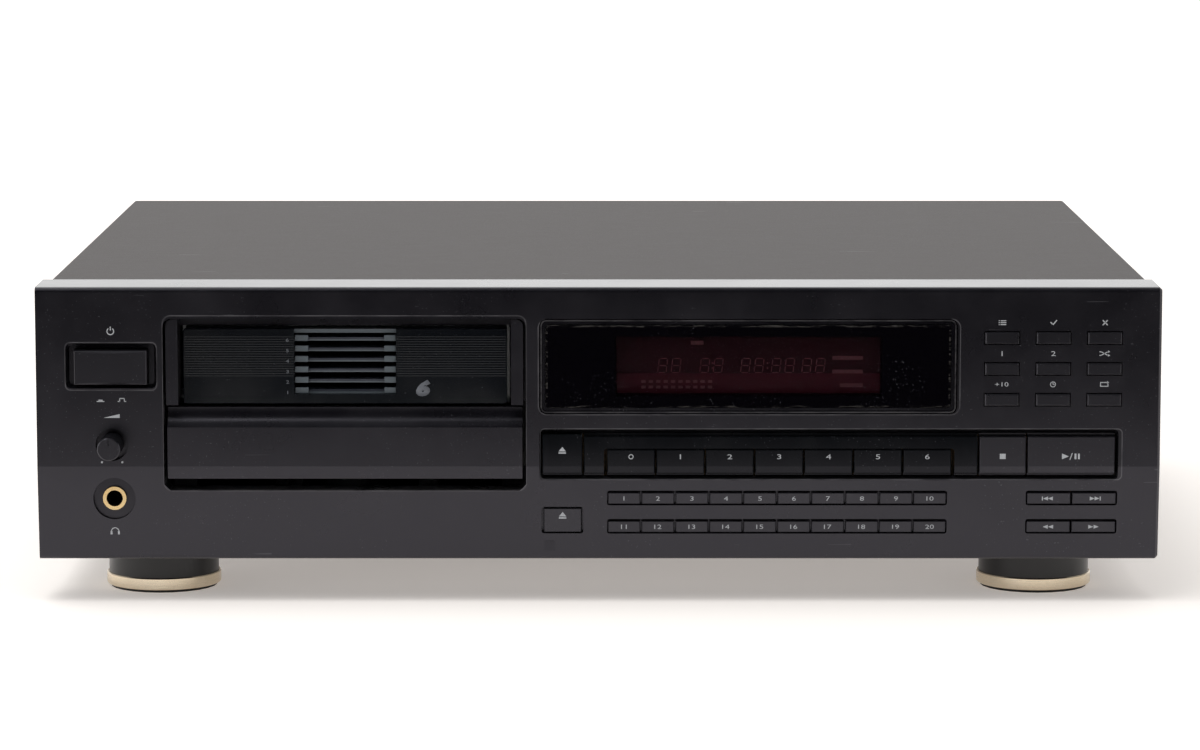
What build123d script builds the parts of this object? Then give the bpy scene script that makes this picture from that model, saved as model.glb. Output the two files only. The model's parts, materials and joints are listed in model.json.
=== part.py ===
from build123d import *
import math
import os

# Multi disc CD changer: six-disc magazine above a single-disc drawer.
# Millimetres. X to the right, Y rearwards, Z up from the surface it stands on.
# The model is laid out with Y = 0 on the front panel's face and moved on export,
# so that the origin is under the middle of the whole object.

# ---- driving dimensions ----------------------------------------------------

# cabinet
body_depth = 360.0
panel_depth = 28.0
panel_wall = 2.8
panel_edge = 2.0
side_edge = 1.0
sheet = 1.0
chassis_sheet = 1.2
cover_inset = 2.4
seam = 0.3
top_hairline = 0.2
corner_steps = 2
lower_lean = 3.0

# feet
foot_height = 17.2
foot_radius = 22.0
ring_radius = 22.9
ring_height = 4.7
pad_thickness = 1.2
pad_radius = 21.3
pad_sides = 24
foot_side_inset = 45.0
foot_front_inset = 45.0
foot_rear_inset = 50.0

# front panel layout, left to right
left_margin = 11.5
power_recess_width = 35.7
power_gap = 2.4
display_side_gap = 5.1
display_width = 163.6
keypad_gap = 10.7
keypad_pitch = 20.05
keypad_key_width = 13.2
right_margin = 15.7

# front panel layout, bottom to top
lower_margin = 10.3
row_height = 5.9
row_gap = 5.5
control_gap = 3.8
control_height = 20.7
display_gap = 5.8
top_margin = 12.3
crease_rise = 5.9

# disc, drawer and magazine
disc_diameter = 120.0
disc_play = 1.0
tray_rim = 3.0
finger_gap = 4.8
drawer_height = 27.8
drawer_depth = 9.0
drawer_overhang = 5.5
drawer_side_gap = 1.5
cove_height = 7.5
cove_depth = 4.5
drawer_travel = 138.0
slot_pitch = 4.14
slot_count = 6
magazine_margin = 2.4
magazine_side = 3.5
magazine_depth = 145.0
magazine_inset = 6.0
magazine_gap = 1.1
magazine_headroom = 4.7
slot_side_gap = 1.65
strip_width = 4.7
collar_depth = 14.0
collar_wall = 1.5

# keys
key_gap = 0.35
key_inset = 0.3
key_edge = 0.35
key_travel = 0.8
flange = 1.2
running_gap = 0.3
fit_gap = 0.2
board_depth = 14.0
board_thickness = 1.6
number_keys = 10
number_gap = 0.6
disc_keys = 7
disc_key_gap = 0.7

# loading drive
gear_module = 1.0
pinion_teeth = 24
backlash = 0.25
pin_play = 0.08

# ---- sizes that follow -----------------------------------------------------

tray_width = disc_diameter + 2 * (disc_play + tray_rim)
drawer_width = tray_width + 2 * drawer_overhang
magazine_width = disc_diameter + 2 * magazine_side
magazine_height = slot_count * slot_pitch + 2 * magazine_margin
bay_width = drawer_width + 2 * drawer_side_gap
keypad_width = 2 * keypad_pitch + keypad_key_width
panel_width = (left_margin + power_recess_width + power_gap + bay_width + display_side_gap
               + display_width + keypad_gap + keypad_width + right_margin)

left = -panel_width / 2
right = panel_width / 2
power_x0 = left + left_margin
power_x1 = power_x0 + power_recess_width
bay_x0 = power_x1 + power_gap
bay_x1 = bay_x0 + bay_width
bay_x = (bay_x0 + bay_x1) / 2
display_x0 = bay_x1 + display_side_gap
display_x1 = display_x0 + display_width
keypad_x0 = display_x1 + keypad_gap
keypad_x1 = keypad_x0 + keypad_width

bottom = foot_height
lower_row_z0 = bottom + lower_margin
lower_row_z1 = lower_row_z0 + row_height
upper_row_z0 = lower_row_z1 + row_gap
upper_row_z1 = upper_row_z0 + row_height
control_z0 = upper_row_z1 + control_gap
control_z1 = control_z0 + control_height
display_z0 = control_z1 + display_gap
bay_z0 = upper_row_z1
drawer_z0 = bay_z0 + finger_gap
drawer_z1 = drawer_z0 + drawer_height
magazine_z0 = drawer_z1 + magazine_gap
magazine_z1 = magazine_z0 + magazine_height
bay_z1 = magazine_z1 + magazine_headroom
display_z1 = bay_z1
body_top = bay_z1 + top_margin
crease_z = control_z0 + crease_rise
lean = lower_lean / (crease_z - bottom)


# ---- helpers ---------------------------------------------------------------

def span(x0, x1, y0, y1, z0, z1):
    """Block between two corners."""
    middle = Pos((x0 + x1) / 2, (y0 + y1) / 2, (z0 + z1) / 2)
    return middle * Box(x1 - x0, y1 - y0, z1 - z0)


def rod_y(x, z, radius, y0, y1):
    """Round bar along Y."""
    return Pos(x, (y0 + y1) / 2, z) * Rot(90, 0, 0) * Cylinder(radius, y1 - y0)


def rod_z(x, y, radius, z0, z1):
    """Round bar along Z."""
    return Pos(x, y, (z0 + z1) / 2) * Cylinder(radius, z1 - z0)


def face_back(z):
    """How far the front face has leaned back at height z."""
    return max(0.0, crease_z - z) * lean


def creased(x0, x1, z0, z1, inset, back, edge=0.0):
    """Block whose front follows the creased panel face, `inset` behind it."""
    outline = [(back, z1), (inset + face_back(z1), z1)]
    if z0 < crease_z < z1:
        outline.append((inset, crease_z))
    outline += [(inset + face_back(z0), z0), (back, z0)]
    profile = make_face(Polyline(*outline, close=True))
    block = extrude(Plane.YZ.offset(x0) * profile, x1 - x0)
    if edge:
        rims = ShapeList()
        for face in block.faces():
            if face.normal_at().Y < -0.9:
                rims += [e for e in face.edges() if abs(e.center().Z - crease_z) > 0.02]
        block = chamfer(rims, edge)
    return block


def facing(x, y, z):
    """Work plane at depth y whose sketches are seen from the front."""
    return Plane(origin=(x, y, z), x_dir=(1, 0, 0), z_dir=(0, -1, 0))


def window(x0, x1, z0, z1, top_radius, low_chamfer):
    """Rectangle seen from the front with round upper and cut lower corners."""
    shape = Rectangle(x1 - x0, z1 - z0)
    corners = shape.vertices().sort_by(Axis.Y)
    if top_radius:
        shape = fillet(corners[2:], top_radius)
        corners = shape.vertices().sort_by(Axis.Y)
    if low_chamfer:
        shape = chamfer(corners[:2], low_chamfer)
    return shape


def through(x0, x1, z0, z1, y0, y1, top_radius=0.0, low_chamfer=0.0):
    """Prism along Y with a window outline."""
    plane = facing((x0 + x1) / 2, y1, (z0 + z1) / 2)
    return extrude(plane * window(x0, x1, z0, z1, top_radius, low_chamfer), y1 - y0)


def soft_rectangle(width, height, radius):
    """Rectangle whose round corners are made of a few straight steps."""
    outline = []
    for quarter, (sx, sz) in enumerate(((1, 1), (-1, 1), (-1, -1), (1, -1))):
        for step in range(corner_steps + 1):
            turn = math.radians(90 * (quarter + step / corner_steps))
            outline.append((sx * (width / 2 - radius) + radius * math.cos(turn),
                            sz * (height / 2 - radius) + radius * math.sin(turn)))
    return make_face(Polyline(*outline, close=True))


def rounded(x0, x1, z0, z1, radius, y0, y1):
    """Prism along Y with four round corners."""
    plane = facing((x0 + x1) / 2, y1, (z0 + z1) / 2)
    return extrude(plane * soft_rectangle(x1 - x0, z1 - z0, radius), y1 - y0)


def funnel(outer, inner, y0, y1):
    """Cut that narrows from one rounded outline to another, going inwards."""
    ends = []
    for (x0, x1, z0, z1, radius), y in ((outer, y0), (inner, y1)):
        sketch = soft_rectangle(x1 - x0, z1 - z0, radius)
        ends.append(facing((x0 + x1) / 2, y, (z0 + z1) / 2) * sketch)
    return loft(ends, ruled=True)


def group(*pieces):
    """Separate solids that share one node."""
    solids = []
    for piece in pieces:
        solids += piece.solids()
    return Compound(children=solids)


nodes = {}

# ---- front panel -----------------------------------------------------------

collar_x0 = bay_x0 - collar_wall
collar_x1 = bay_x1 + collar_wall

# power button
power_recess_depth = 4.0
power_recess_height = 17.6
power_key_width = 28.3
power_key_height = 13.3
power_proud = 3.2
power_travel = 2.5
power_floor = 1.8
power_crown = 0.6
power_z1 = bay_z1 - 9.8
power_z0 = power_z1 - power_recess_height
power_x = (power_x0 + power_x1) / 2
power_z = (power_z0 + power_z1) / 2 - 0.4
power_hole = (power_x - power_key_width / 2 - key_gap, power_x + power_key_width / 2 + key_gap,
              power_z - power_key_height / 2 - key_gap, power_z + power_key_height / 2 + key_gap)

# level knob and headphone jack
knob_recess_radius = 6.4
knob_recess_depth = 3.5
knob_radius = 4.5
knob_proud = 13.0
knob_floor = 1.6
shaft_radius = 3.0
shaft_play = 0.3
knob_x = power_x
knob_z = crease_z + 8.6
jack_recess_radius = 8.3
jack_recess_depth = 3.2
jack_floor = 2.0
jack_bush_radius = 4.6
jack_bore_radius = 3.2
jack_x = power_x + 0.6
jack_z = crease_z - 12.9

# control strip
lip_height = 1.8
lip_side = 0.9
lip_depth = 2.2
control_right_inset = 0.7
control_x1 = keypad_x1 - control_right_inset
control_open = (display_x0 + lip_side, control_x1 - lip_side,
                control_z0 + lip_height, control_z1 - lip_height)
control_low = 1.2                             # keys' lower edge above the opening's
eject_width = 15.6
stop_width = 18.2
play_width = 34.2
key_divide = 0.7
eject_x0 = control_open[0] + key_gap
eject_x1 = eject_x0 + eject_width
bezel_x0 = eject_x1 + key_divide
play_x1 = control_open[1] - key_gap
play_x0 = play_x1 - play_width
stop_x1 = play_x0 - key_divide
stop_x0 = stop_x1 - stop_width
bezel_x1 = stop_x0 - key_divide
control_key_z0 = control_open[2] + control_low
eject_z1 = control_open[3] - key_gap
control_key_z1 = eject_z1 - 0.9
disc_cut_left = 7.8
disc_cut_right = 9.1
disc_cut_x0 = bezel_x0 + disc_cut_left
disc_cut_x1 = bezel_x1 - disc_cut_right
disc_strip = 4.7
disc_cut_z1 = control_key_z1 - disc_strip
disc_key_z1 = disc_cut_z1 - 0.5
disc_end_gap = 1.3
disc_key_width = ((disc_cut_x1 - disc_cut_x0 - 2 * disc_end_gap
                   - (disc_keys - 1) * disc_key_gap) / disc_keys)

# number keys, skip and search keys, open and close key
row_corner = 0.9
row_x0 = disc_cut_x0 + 1.2
row_x1 = disc_cut_x1 - 2.7
key_low_gap = 0.35
key_high_gap = 0.85
number_pitch = (row_x1 - row_x0) / number_keys
pair_x1 = keypad_x1 - 0.8
pair_width = 35.9
pair_divide = 0.6
pair_x0 = pair_x1 - pair_width
open_x0 = eject_x0 - 0.4
open_x1 = eject_x1 + 0.4
open_z0 = lower_row_z0 + 0.1
open_height = 10.7

# function keys
keypad_key_height = 4.6
keypad_proud = 1.0
keypad_play = 0.4
keypad_step = 12.15
keypad_top = 5.3                              # top key below the display's top edge

# display
display_corner = 2.7
display_rim = 2.6
display_lip = 0.9
pane_inset = 0.3
pane_corner = 1.3
pane_edge = 0.4


def keypad_cells():
    """Left edge and lower edge of each function key, row by row."""
    cells = []
    for row in range(3):
        for column in range(3):
            x = keypad_x0 + column * keypad_pitch
            z = display_z1 - keypad_top - keypad_key_height - row * keypad_step
            cells.append((x, z))
    return cells


def panel_body():
    """Moulded shell: a creased wall with a flange all round."""
    corners = [(0, body_top), (0, crease_z), (lower_lean, bottom),
               (panel_depth, bottom), (panel_depth, body_top)]
    profile = make_face(Polyline(*corners, close=True))
    front = [v for v in profile.vertices() if v.X < lower_lean + 0.01]
    profile = fillet([v for v in front if abs(v.Y - crease_z) > 1], panel_edge)
    shell = extrude(Plane.YZ.offset(left) * profile, panel_width)
    for end in (shell.faces().sort_by(Axis.X)[0], shell.faces().sort_by(Axis.X)[-1]):
        rims = [e for e in end.edges() if e.center().Y < panel_depth / 4]
        shell = chamfer(rims, side_edge)
    hollow = creased(left + panel_wall, right - panel_wall, bottom + panel_wall,
                     body_top - panel_wall, panel_wall, panel_depth + 1)
    return shell - hollow


def knob_pad():
    """Block behind the wall that holds the knob's recess."""
    half = knob_recess_radius + 1.8
    return span(knob_x - half, knob_x + half, 1, knob_recess_depth + knob_floor,
                knob_z - half, knob_z + half)


def jack_pad():
    """Block behind the wall that holds the headphone jack's recess."""
    half = jack_recess_radius + 1.4
    return span(jack_x - half, jack_x + half, 2.5, jack_recess_depth + jack_floor,
                jack_z - half, jack_z + half)


def panel_backing():
    """Collars and thick pads behind the wall, where recesses are cut."""
    collar = through(collar_x0, collar_x1, bay_z0 - collar_wall, bay_z1 + collar_wall,
                     panel_wall, collar_depth, 3.5 + collar_wall, 2.5)
    power_pad = span(power_x0, power_x1, 1, power_recess_depth + power_floor,
                     power_z0 - 1, power_z1 + 1)
    return collar + power_pad + knob_pad() + jack_pad()


boss_half = 2.0
screw_head = 1.6
boss_places = [
    (display_x0 + 4, control_z1 + display_gap / 2),
    (keypad_x0 - 3, control_z1 + display_gap / 2),
    (keypad_x1 + 6, display_z1 - 4),
    (keypad_x1 + 6, upper_row_z0),
    (row_x1 + 14, upper_row_z1 - 4),
    (display_x0 + 4, bottom + panel_wall + 2.6),
]


def panel_cuts():
    """Every opening of the front panel."""
    cuts = through(bay_x0, bay_x1, bay_z0, bay_z1, -1, collar_depth + 1, 3.5, 2.5)
    cuts += funnel((power_x0, power_x1, power_z0, power_z1, 2.0),
                   (power_x0 + 1.2, power_x1 - 1.2, power_z0 + 0.8, power_z1 - 0.8, 1.5),
                   -0.001, power_recess_depth)
    cuts += span(power_hole[0], power_hole[1], 0, power_recess_depth + power_floor + 1,
                 power_hole[2], power_hole[3])
    cuts += rod_y(knob_x, knob_z, knob_recess_radius, -1, knob_recess_depth)
    cuts += rod_y(knob_x, knob_z, shaft_radius + shaft_play, -1, knob_recess_depth + knob_floor + 1)
    cuts += rod_y(jack_x, jack_z, jack_recess_radius, -1, jack_recess_depth)
    cuts += rod_y(jack_x, jack_z, jack_bush_radius + fit_gap / 2, -1,
                  jack_recess_depth + jack_floor + 1)
    cuts += rounded(display_x0, display_x1, display_z0, display_z1, display_corner,
                    -1, panel_wall + 1)
    x0, x1, z0, z1 = control_open
    cuts += funnel((display_x0, control_x1, control_z0, control_z1, 1.6),
                   (x0, x1, z0, z1, 0.9), -0.001, lip_depth)
    cuts += rounded(x0, x1, z0, z1, 0.9, 0, panel_wall + 4)
    for z0 in (lower_row_z0, upper_row_z0):
        cuts += rounded(row_x0, row_x1, z0, z0 + row_height, row_corner, -1, panel_wall + 4)
        cuts += rounded(pair_x0, pair_x1, z0, z0 + row_height, row_corner, -1, panel_wall + 4)
    cuts += rounded(open_x0, open_x1, open_z0, open_z0 + open_height, row_corner,
                    -1, panel_wall + 4)
    for x, z in keypad_cells():
        cuts += span(x - keypad_play, x + keypad_key_width + keypad_play, -1, panel_wall + 1,
                     z - keypad_play, z + keypad_key_height + keypad_play)
    return cuts


def front_panel():
    """Front panel with its board bosses."""
    shell = panel_body() + panel_backing()
    for x, z in boss_places:
        shell += span(x - boss_half, x + boss_half, panel_wall - 0.5, board_depth,
                      z - boss_half, z + boss_half)
    return shell - panel_cuts()


nodes["front_panel"] = front_panel()

# ---- keys ------------------------------------------------------------------

behind = panel_wall + running_gap             # where a key's flange starts, at the crease
stem_end = board_depth - 5.5
stem_width = 4.0


def key(x0, x1, z0, z1, up=flange, down=flange, side=0.0, edge=key_edge, inset=key_inset):
    """Key cap that fills an opening, its flange and the stem that reaches its switch."""
    cap = creased(x0, x1, z0, z1, inset, behind + face_back(z0), edge)
    web = creased(x0 - side, x1 + side, z0 - down, z1 + up, behind,
                  behind + face_back(z0 - down) + flange)
    x = (x0 + x1) / 2
    z = (z0 + z1) / 2
    stem = span(x - stem_width / 2, x + stem_width / 2, behind + 0.5, stem_end, z - 1.2, z + 1.2)
    switch_places.append((x, z))
    return cap + web + stem


switch_places = []

nodes["eject_button"] = key(eject_x0, eject_x1, control_key_z0, eject_z1)
nodes["stop_button"] = key(stop_x0, stop_x1, control_key_z0, control_key_z1, up=flange + 0.9)
nodes["play_pause_button"] = key(play_x0, play_x1, control_key_z0, control_key_z1,
                                 up=flange + 0.9)
for index in range(disc_keys):
    x0 = disc_cut_x0 + disc_end_gap + index * (disc_key_width + disc_key_gap)
    name = "single_play_key" if index == 0 else f"disc_{index}_key"
    nodes[name] = key(x0, x0 + disc_key_width, control_key_z0, disc_key_z1)

for name, z0, first in (("number_keys_1_to_10", upper_row_z0, 1),
                        ("number_keys_11_to_20", lower_row_z0, 11)):
    z_low = z0 + key_low_gap
    z_high = z0 + row_height - key_high_gap
    strip = creased(row_x0 - flange, row_x1 + flange, z0 - flange, z0 + row_height + flange,
                    behind, behind + face_back(z0 - flange) + flange)
    for index in range(number_keys):
        x0 = row_x0 + index * number_pitch + number_gap / 2
        x1 = x0 + number_pitch - number_gap
        strip += creased(x0, x1, z_low, z_high, key_inset, behind + face_back(z_low), key_edge)
        if index % 3 == 1:
            x = (x0 + x1) / 2
            z = (z_low + z_high) / 2
            strip += span(x - 2, x + 2, behind + 2, stem_end, z - 1.2, z + 1.2)
            switch_places.append((x, z))
    nodes[name] = strip

for row, z0 in (("skip", upper_row_z0), ("search", lower_row_z0)):
    middle = (pair_x0 + pair_x1) / 2
    z_low = z0 + key_low_gap
    z_high = z0 + row_height - key_high_gap
    nodes[f"{row}_back_key"] = key(pair_x0 + key_gap, middle - pair_divide / 2, z_low, z_high,
                                   up=flange + key_high_gap)
    nodes[f"{row}_forward_key"] = key(middle + pair_divide / 2, pair_x1 - key_gap,
                                      z_low, z_high, up=flange + key_high_gap)

nodes["open_close_button"] = key(open_x0 + 0.8, open_x1 - 0.6, open_z0 + 0.35,
                                 open_z0 + open_height - 0.6, side=flange, up=flange + 0.6)

keypad_names = ["program_key", "check_key", "clear_key", "edit_1_key", "edit_2_key",
                "random_key", "plus_10_key", "time_key", "repeat_key"]
for name, (x, z) in zip(keypad_names, keypad_cells()):
    nodes[name] = key(x, x + keypad_key_width, z, z + keypad_key_height, side=flange,
                      edge=0.5, inset=-keypad_proud)


# ---- power button, knob and headphone jack ---------------------------------

switch_body_depth = 34.0
power_flange_y = power_recess_depth + power_floor + running_gap


def power_button():
    """Square-set push button with a slightly crowned face."""
    half = power_key_width / 2
    low = power_z - power_key_height / 2
    cap = span(power_x - half, power_x + half, -power_proud, power_flange_y,
               low, low + power_key_height)
    cap = chamfer(cap.faces().sort_by(Axis.Y)[0].edges(), 0.9)
    bow = (half ** 2 + power_crown ** 2) / (2 * power_crown)
    cap &= rod_z(power_x, bow - power_proud, bow, low - 1, low + power_key_height + 1)
    web = span(power_x - half - flange, power_x + half + flange, power_flange_y,
               power_flange_y + flange, low - flange, low + power_key_height + flange)
    stem = span(power_x - 3, power_x + 3, power_flange_y, power_flange_y + 9,
                power_z - 3, power_z + 3)
    return cap + web + stem


nodes["power_button"] = power_button()
power_switch_y = power_flange_y + 9 + power_travel + running_gap
left_board_y = 30.0
power_switch = span(power_x - 8, power_x + 8, power_switch_y, left_board_y,
                    power_z - 7, power_z + 7)

pot_y0 = knob_recess_depth + knob_floor
pot_y1 = pot_y0 + 9
shaft_flat = 1.5


def d_shaft(radius, y0, y1, flat):
    """Shaft along Y with one flat along its top."""
    bar = rod_y(knob_x, knob_z, radius, y0, y1)
    return bar - span(knob_x - radius, knob_x + radius, y0 - 1, y1 + 1,
                      knob_z + flat, knob_z + radius + 1)


def level_knob():
    """Round knob with a pointer groove and a bore for the shaft."""
    knob = rod_y(knob_x, knob_z, knob_radius, -knob_proud, knob_recess_depth - 0.8)
    knob = chamfer(knob.edges().sort_by(Axis.Y)[0], 0.4)
    knob -= d_shaft(shaft_radius, -knob_proud + 4, knob_recess_depth, shaft_flat)
    knob -= span(knob_x - 0.3, knob_x + 0.3, -knob_proud - 1, -knob_proud + 0.5,
                 knob_z + 1.4, knob_z + knob_radius + 1)
    return knob


level_shaft = (d_shaft(shaft_radius, -knob_proud + 4, knob_recess_depth - 0.8, shaft_flat)
               + rod_y(knob_x, knob_z, shaft_radius, knob_recess_depth - 0.8, pot_y1 - 2))
nodes["level_knob"] = group(level_knob(), level_shaft)
level_pot = (span(knob_x - 6, knob_x + 6, pot_y0, pot_y1, knob_z - 7, knob_z + 6)
             + span(knob_x - 5, knob_x + 5, pot_y1, left_board_y, knob_z - 6, knob_z - 2)
             - rod_y(knob_x, knob_z, shaft_radius + pin_play, pot_y0 - 1,
                     pot_y1 - 2 + running_gap))

jack_front = jack_recess_depth - 1.4
jack_body_y0 = jack_recess_depth + jack_floor
jack_depth = 21.0
nodes["jack_bush"] = (rod_y(jack_x, jack_z, jack_bush_radius, jack_front, jack_body_y0)
                      - rod_y(jack_x, jack_z, jack_bore_radius, jack_front - 1, jack_body_y0 + 1))
nodes["headphone_socket"] = (span(jack_x - 6.5, jack_x + 6.5, jack_body_y0, left_board_y,
                                  jack_z - 7, jack_z + 7)
                             - rod_y(jack_x, jack_z, jack_bore_radius, jack_body_y0 - 1,
                                     jack_body_y0 + jack_depth))
left_board_x0 = left + panel_wall + 3
left_board = span(left_board_x0, bay_x0 - 6, left_board_y, left_board_y + board_thickness,
                  bottom + panel_wall + 5, body_top - panel_wall - 8)
nodes["left_board"] = group(left_board, power_switch, level_pot)

# ---- control strip, display and front board --------------------------------


def control_bezel():
    """Fixed plate between the eject and stop keys, with the disc keys' cut-out."""
    plate = creased(bezel_x0, bezel_x1, control_key_z0, control_key_z1, key_inset,
                    panel_wall + face_back(control_key_z0), key_edge)
    lug = panel_wall + flange
    upper = span(bezel_x0, bezel_x1, panel_wall, lug, control_key_z1 - 2, control_z1)
    plate += upper
    for x0, x1 in ((bezel_x0, disc_cut_x0), (disc_cut_x1, bezel_x1)):
        foot_z0 = control_key_z0 - control_low - 1
        plate += creased(x0, x1, foot_z0, control_key_z0 + 2,
                         panel_wall, lug + face_back(foot_z0))
    plate -= through(disc_cut_x0, disc_cut_x1, control_key_z0 - 4, disc_cut_z1, -1,
                     panel_wall + 5, 1.2)
    return plate


nodes["control_bezel"] = control_bezel()


def display_bezel():
    """Frame with a raised outer lip and a sunk band round the pane."""
    gap = fit_gap
    x0, x1 = display_x0 + gap, display_x1 - gap
    z0, z1 = display_z0 + gap, display_z1 - gap
    frame = rounded(x0, x1, z0, z1, display_corner - gap, 0.2, panel_wall)
    frame += rounded(x0 - 1, x1 + 1, z0 - 1, z1 + 1, display_corner, panel_wall, panel_wall + 1)
    rim = [e for e in frame.edges() if abs(e.center().Y - 0.2) < 0.01]
    frame = chamfer(rim, 0.4)
    lip = display_lip
    frame -= rounded(x0 + lip, x1 - lip, z0 + lip, z1 - lip, display_corner - lip - gap, -1, 1.2)
    inner = display_rim - 0.2
    frame -= rounded(display_x0 + inner, display_x1 - inner, display_z0 + inner,
                     display_z1 - inner, pane_corner, -1, panel_wall + 3)
    return frame


def display_window():
    """Smoked pane that stands up inside the frame."""
    rim = display_rim
    x0, x1 = display_x0 + rim, display_x1 - rim
    z0, z1 = display_z0 + rim, display_z1 - rim
    pane = rounded(x0, x1, z0, z1, pane_corner - 0.2, pane_inset, panel_wall + 1)
    edge = [e for e in pane.edges() if abs(e.center().Y - pane_inset) < 0.01]
    pane = chamfer(edge, pane_edge)
    pane += rounded(x0 - 1.5, x1 + 1.5, z0 - 1.5, z1 + 1.5, 1.5, panel_wall + 1, panel_wall + 2)
    return pane


nodes["display_bezel"] = display_bezel()
nodes["display_window"] = display_window()

tube_inset_left = 26.0
tube_inset_right = 26.0
tube_depth = 5.0
tube_x0 = display_x0 + tube_inset_left
tube_x1 = display_x1 - tube_inset_right
tube_z0 = display_z0 + 4.9
tube_z1 = display_z1 - 4.6
tube_back = board_depth - 3.0
nodes["display_tube"] = (span(tube_x0, tube_x1, tube_back - tube_depth, tube_back, tube_z0, tube_z1)
                         + span(tube_x0 + 3, tube_x1 - 3, tube_back, board_depth,
                                tube_z0 + 1, tube_z0 + 3))

board_x0 = collar_x1 + 1.5
board_x1 = right - panel_wall - 3
front_board = span(board_x0, board_x1, board_depth, board_depth + board_thickness,
                   bottom + panel_wall + 1, body_top - panel_wall - 3)


switch_play = 0.15
switch_half_width = 3.0
switch_half_height = 2.6


def tact_switches():
    """One small push switch behind each key stem, just clear of the pressed stem."""
    switches = []
    for x, z in switch_places:
        switches.append(span(x - switch_half_width, x + switch_half_width,
                             stem_end + key_travel + switch_play, board_depth,
                             z - switch_half_height, z + switch_half_height))
    return group(*switches)


def board_screws():
    """Hexagon screws that hold the front board to the panel's bosses."""
    screws = []
    for x, z in boss_places:
        plane = facing(x, board_depth + board_thickness + screw_head, z)
        screws.append(extrude(plane * RegularPolygon(2.5, 6), screw_head))
    return group(*screws)


nodes["front_board"] = group(front_board, tact_switches(), board_screws())

# ---- magazine surround and magazine ----------------------------------------

slot_half = magazine_width / 2 + slot_side_gap
strip_half = slot_half + strip_width
strip_front = 0.6


def magazine_surround():
    """Inverted U behind the panel's bay: two side strips and a sunk top bar."""
    low = magazine_z0 + 0.2
    high = bay_z1 - running_gap
    whole = through(bay_x - strip_half, bay_x + strip_half, low, high, strip_front,
                    collar_depth, 3.0)
    whole -= span(bay_x - slot_half, bay_x + slot_half, -1, collar_depth + 3, low - 1,
                  magazine_z1 + 1.0)
    whole -= span(bay_x - slot_half, bay_x + slot_half, -1, collar_depth - 4, low - 1, high + 1)
    back = collar_depth + 1.5
    seat = span(collar_x0, collar_x1, collar_depth, back, low, bay_z1 + collar_wall)
    seat -= span(bay_x - slot_half, bay_x + slot_half, 0, back + 1, low - 1, magazine_z1 + 1.0)
    return whole + seat


nodes["magazine_surround"] = magazine_surround()

case_wall = 1.5
front_cap = 3.0
window_left = 43.5
window_width = 40.0
window_margin = 3.8
case_y0 = magazine_inset + front_cap
case_y1 = magazine_inset + magazine_depth
case_x0 = bay_x - magazine_width / 2
case_x1 = bay_x + magazine_width / 2
window_x0 = case_x0 + window_left
window_x1 = window_x0 + window_width
tray_sheet = 1.3
tab_lift = 0.2
tab_height = 2.2


def magazine_front():
    """Smoked front of the magazine, with the window cut through it."""
    cap = rounded(case_x0, case_x1, magazine_z0, magazine_z1, 1.0, magazine_inset, case_y0)
    edge = [e for e in cap.edges() if abs(e.center().Y - magazine_inset) < 0.01]
    cap = chamfer(edge, 0.3)
    return cap - span(window_x0, window_x1, 0, case_y0 + 1, magazine_z0 + window_margin,
                      magazine_z1 + 1)


def magazine_case():
    """Box open at the window and at the rear, where the trays leave it."""
    box = span(case_x0 + 0.5, case_x1 - 0.5, case_y0, case_y1, magazine_z0 + 0.4,
               magazine_z1 - 0.4)
    box -= span(case_x0 + 0.5 + case_wall, case_x1 - 0.5 - case_wall, case_y0 + case_wall,
                case_y1 + 1, magazine_z0 + 0.4 + case_wall, magazine_z1 - 0.4 - case_wall)
    box -= span(window_x0, window_x1, case_y0 - 1, case_y0 + case_wall + 1,
                magazine_z0 + window_margin, magazine_z1 - 0.4 - case_wall)
    return box


def slot_z(index):
    """Underside of one magazine tray, counted from the top."""
    return magazine_z1 - magazine_margin - (index + 1) * slot_pitch + 1.35


def magazine_trays():
    """Six thin trays, slotted for the hub of the disc."""
    trays = []
    inner = case_x0 + 0.5 + case_wall
    for index in range(slot_count):
        z = slot_z(index)
        plate = span(inner, case_x1 - 0.5 - case_wall, case_y0 + case_wall, case_y1 - 2,
                     z, z + tray_sheet)
        hub_y = case_y0 + case_wall + disc_diameter / 2 + 4
        plate -= span(bay_x - 18, bay_x + 18, hub_y - 20, case_y1, z - 1, z + tray_sheet + 1)
        trays.append(plate)
    return group(*trays)


def tray_tabs():
    """Pale finger tabs at both ends of each tray's front edge."""
    tabs = []
    for index in range(slot_count):
        z = slot_z(index)
        y1 = case_y0 + case_wall
        for x0, x1 in ((window_x0 + 0.3, window_x0 + 5.4), (window_x1 - 4.7, window_x1 - 0.3)):
            tabs.append(span(x0, x1, y1 - 2.5, y1, z + tab_lift, z + tab_lift + tab_height))
    return group(*tabs)


nodes["magazine_front"] = magazine_front()
nodes["magazine_case"] = magazine_case()
nodes["magazine_trays"] = group(magazine_trays(), tray_tabs())

# ---- drawer ----------------------------------------------------------------

tray_top = drawer_z1 - 9.3
tray_thickness = 7.0
tray_z0 = tray_top - tray_thickness
disc_sink = 3.0
step_sink = 1.5
disc_y = drawer_depth + 8 + disc_diameter / 2 + disc_play
tray_length = 190.0
tray_y1 = drawer_depth + tray_length
runner_width = 3.0
runner_height = 3.0
rack_height = 5.5
rack_back = 5.0


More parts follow.
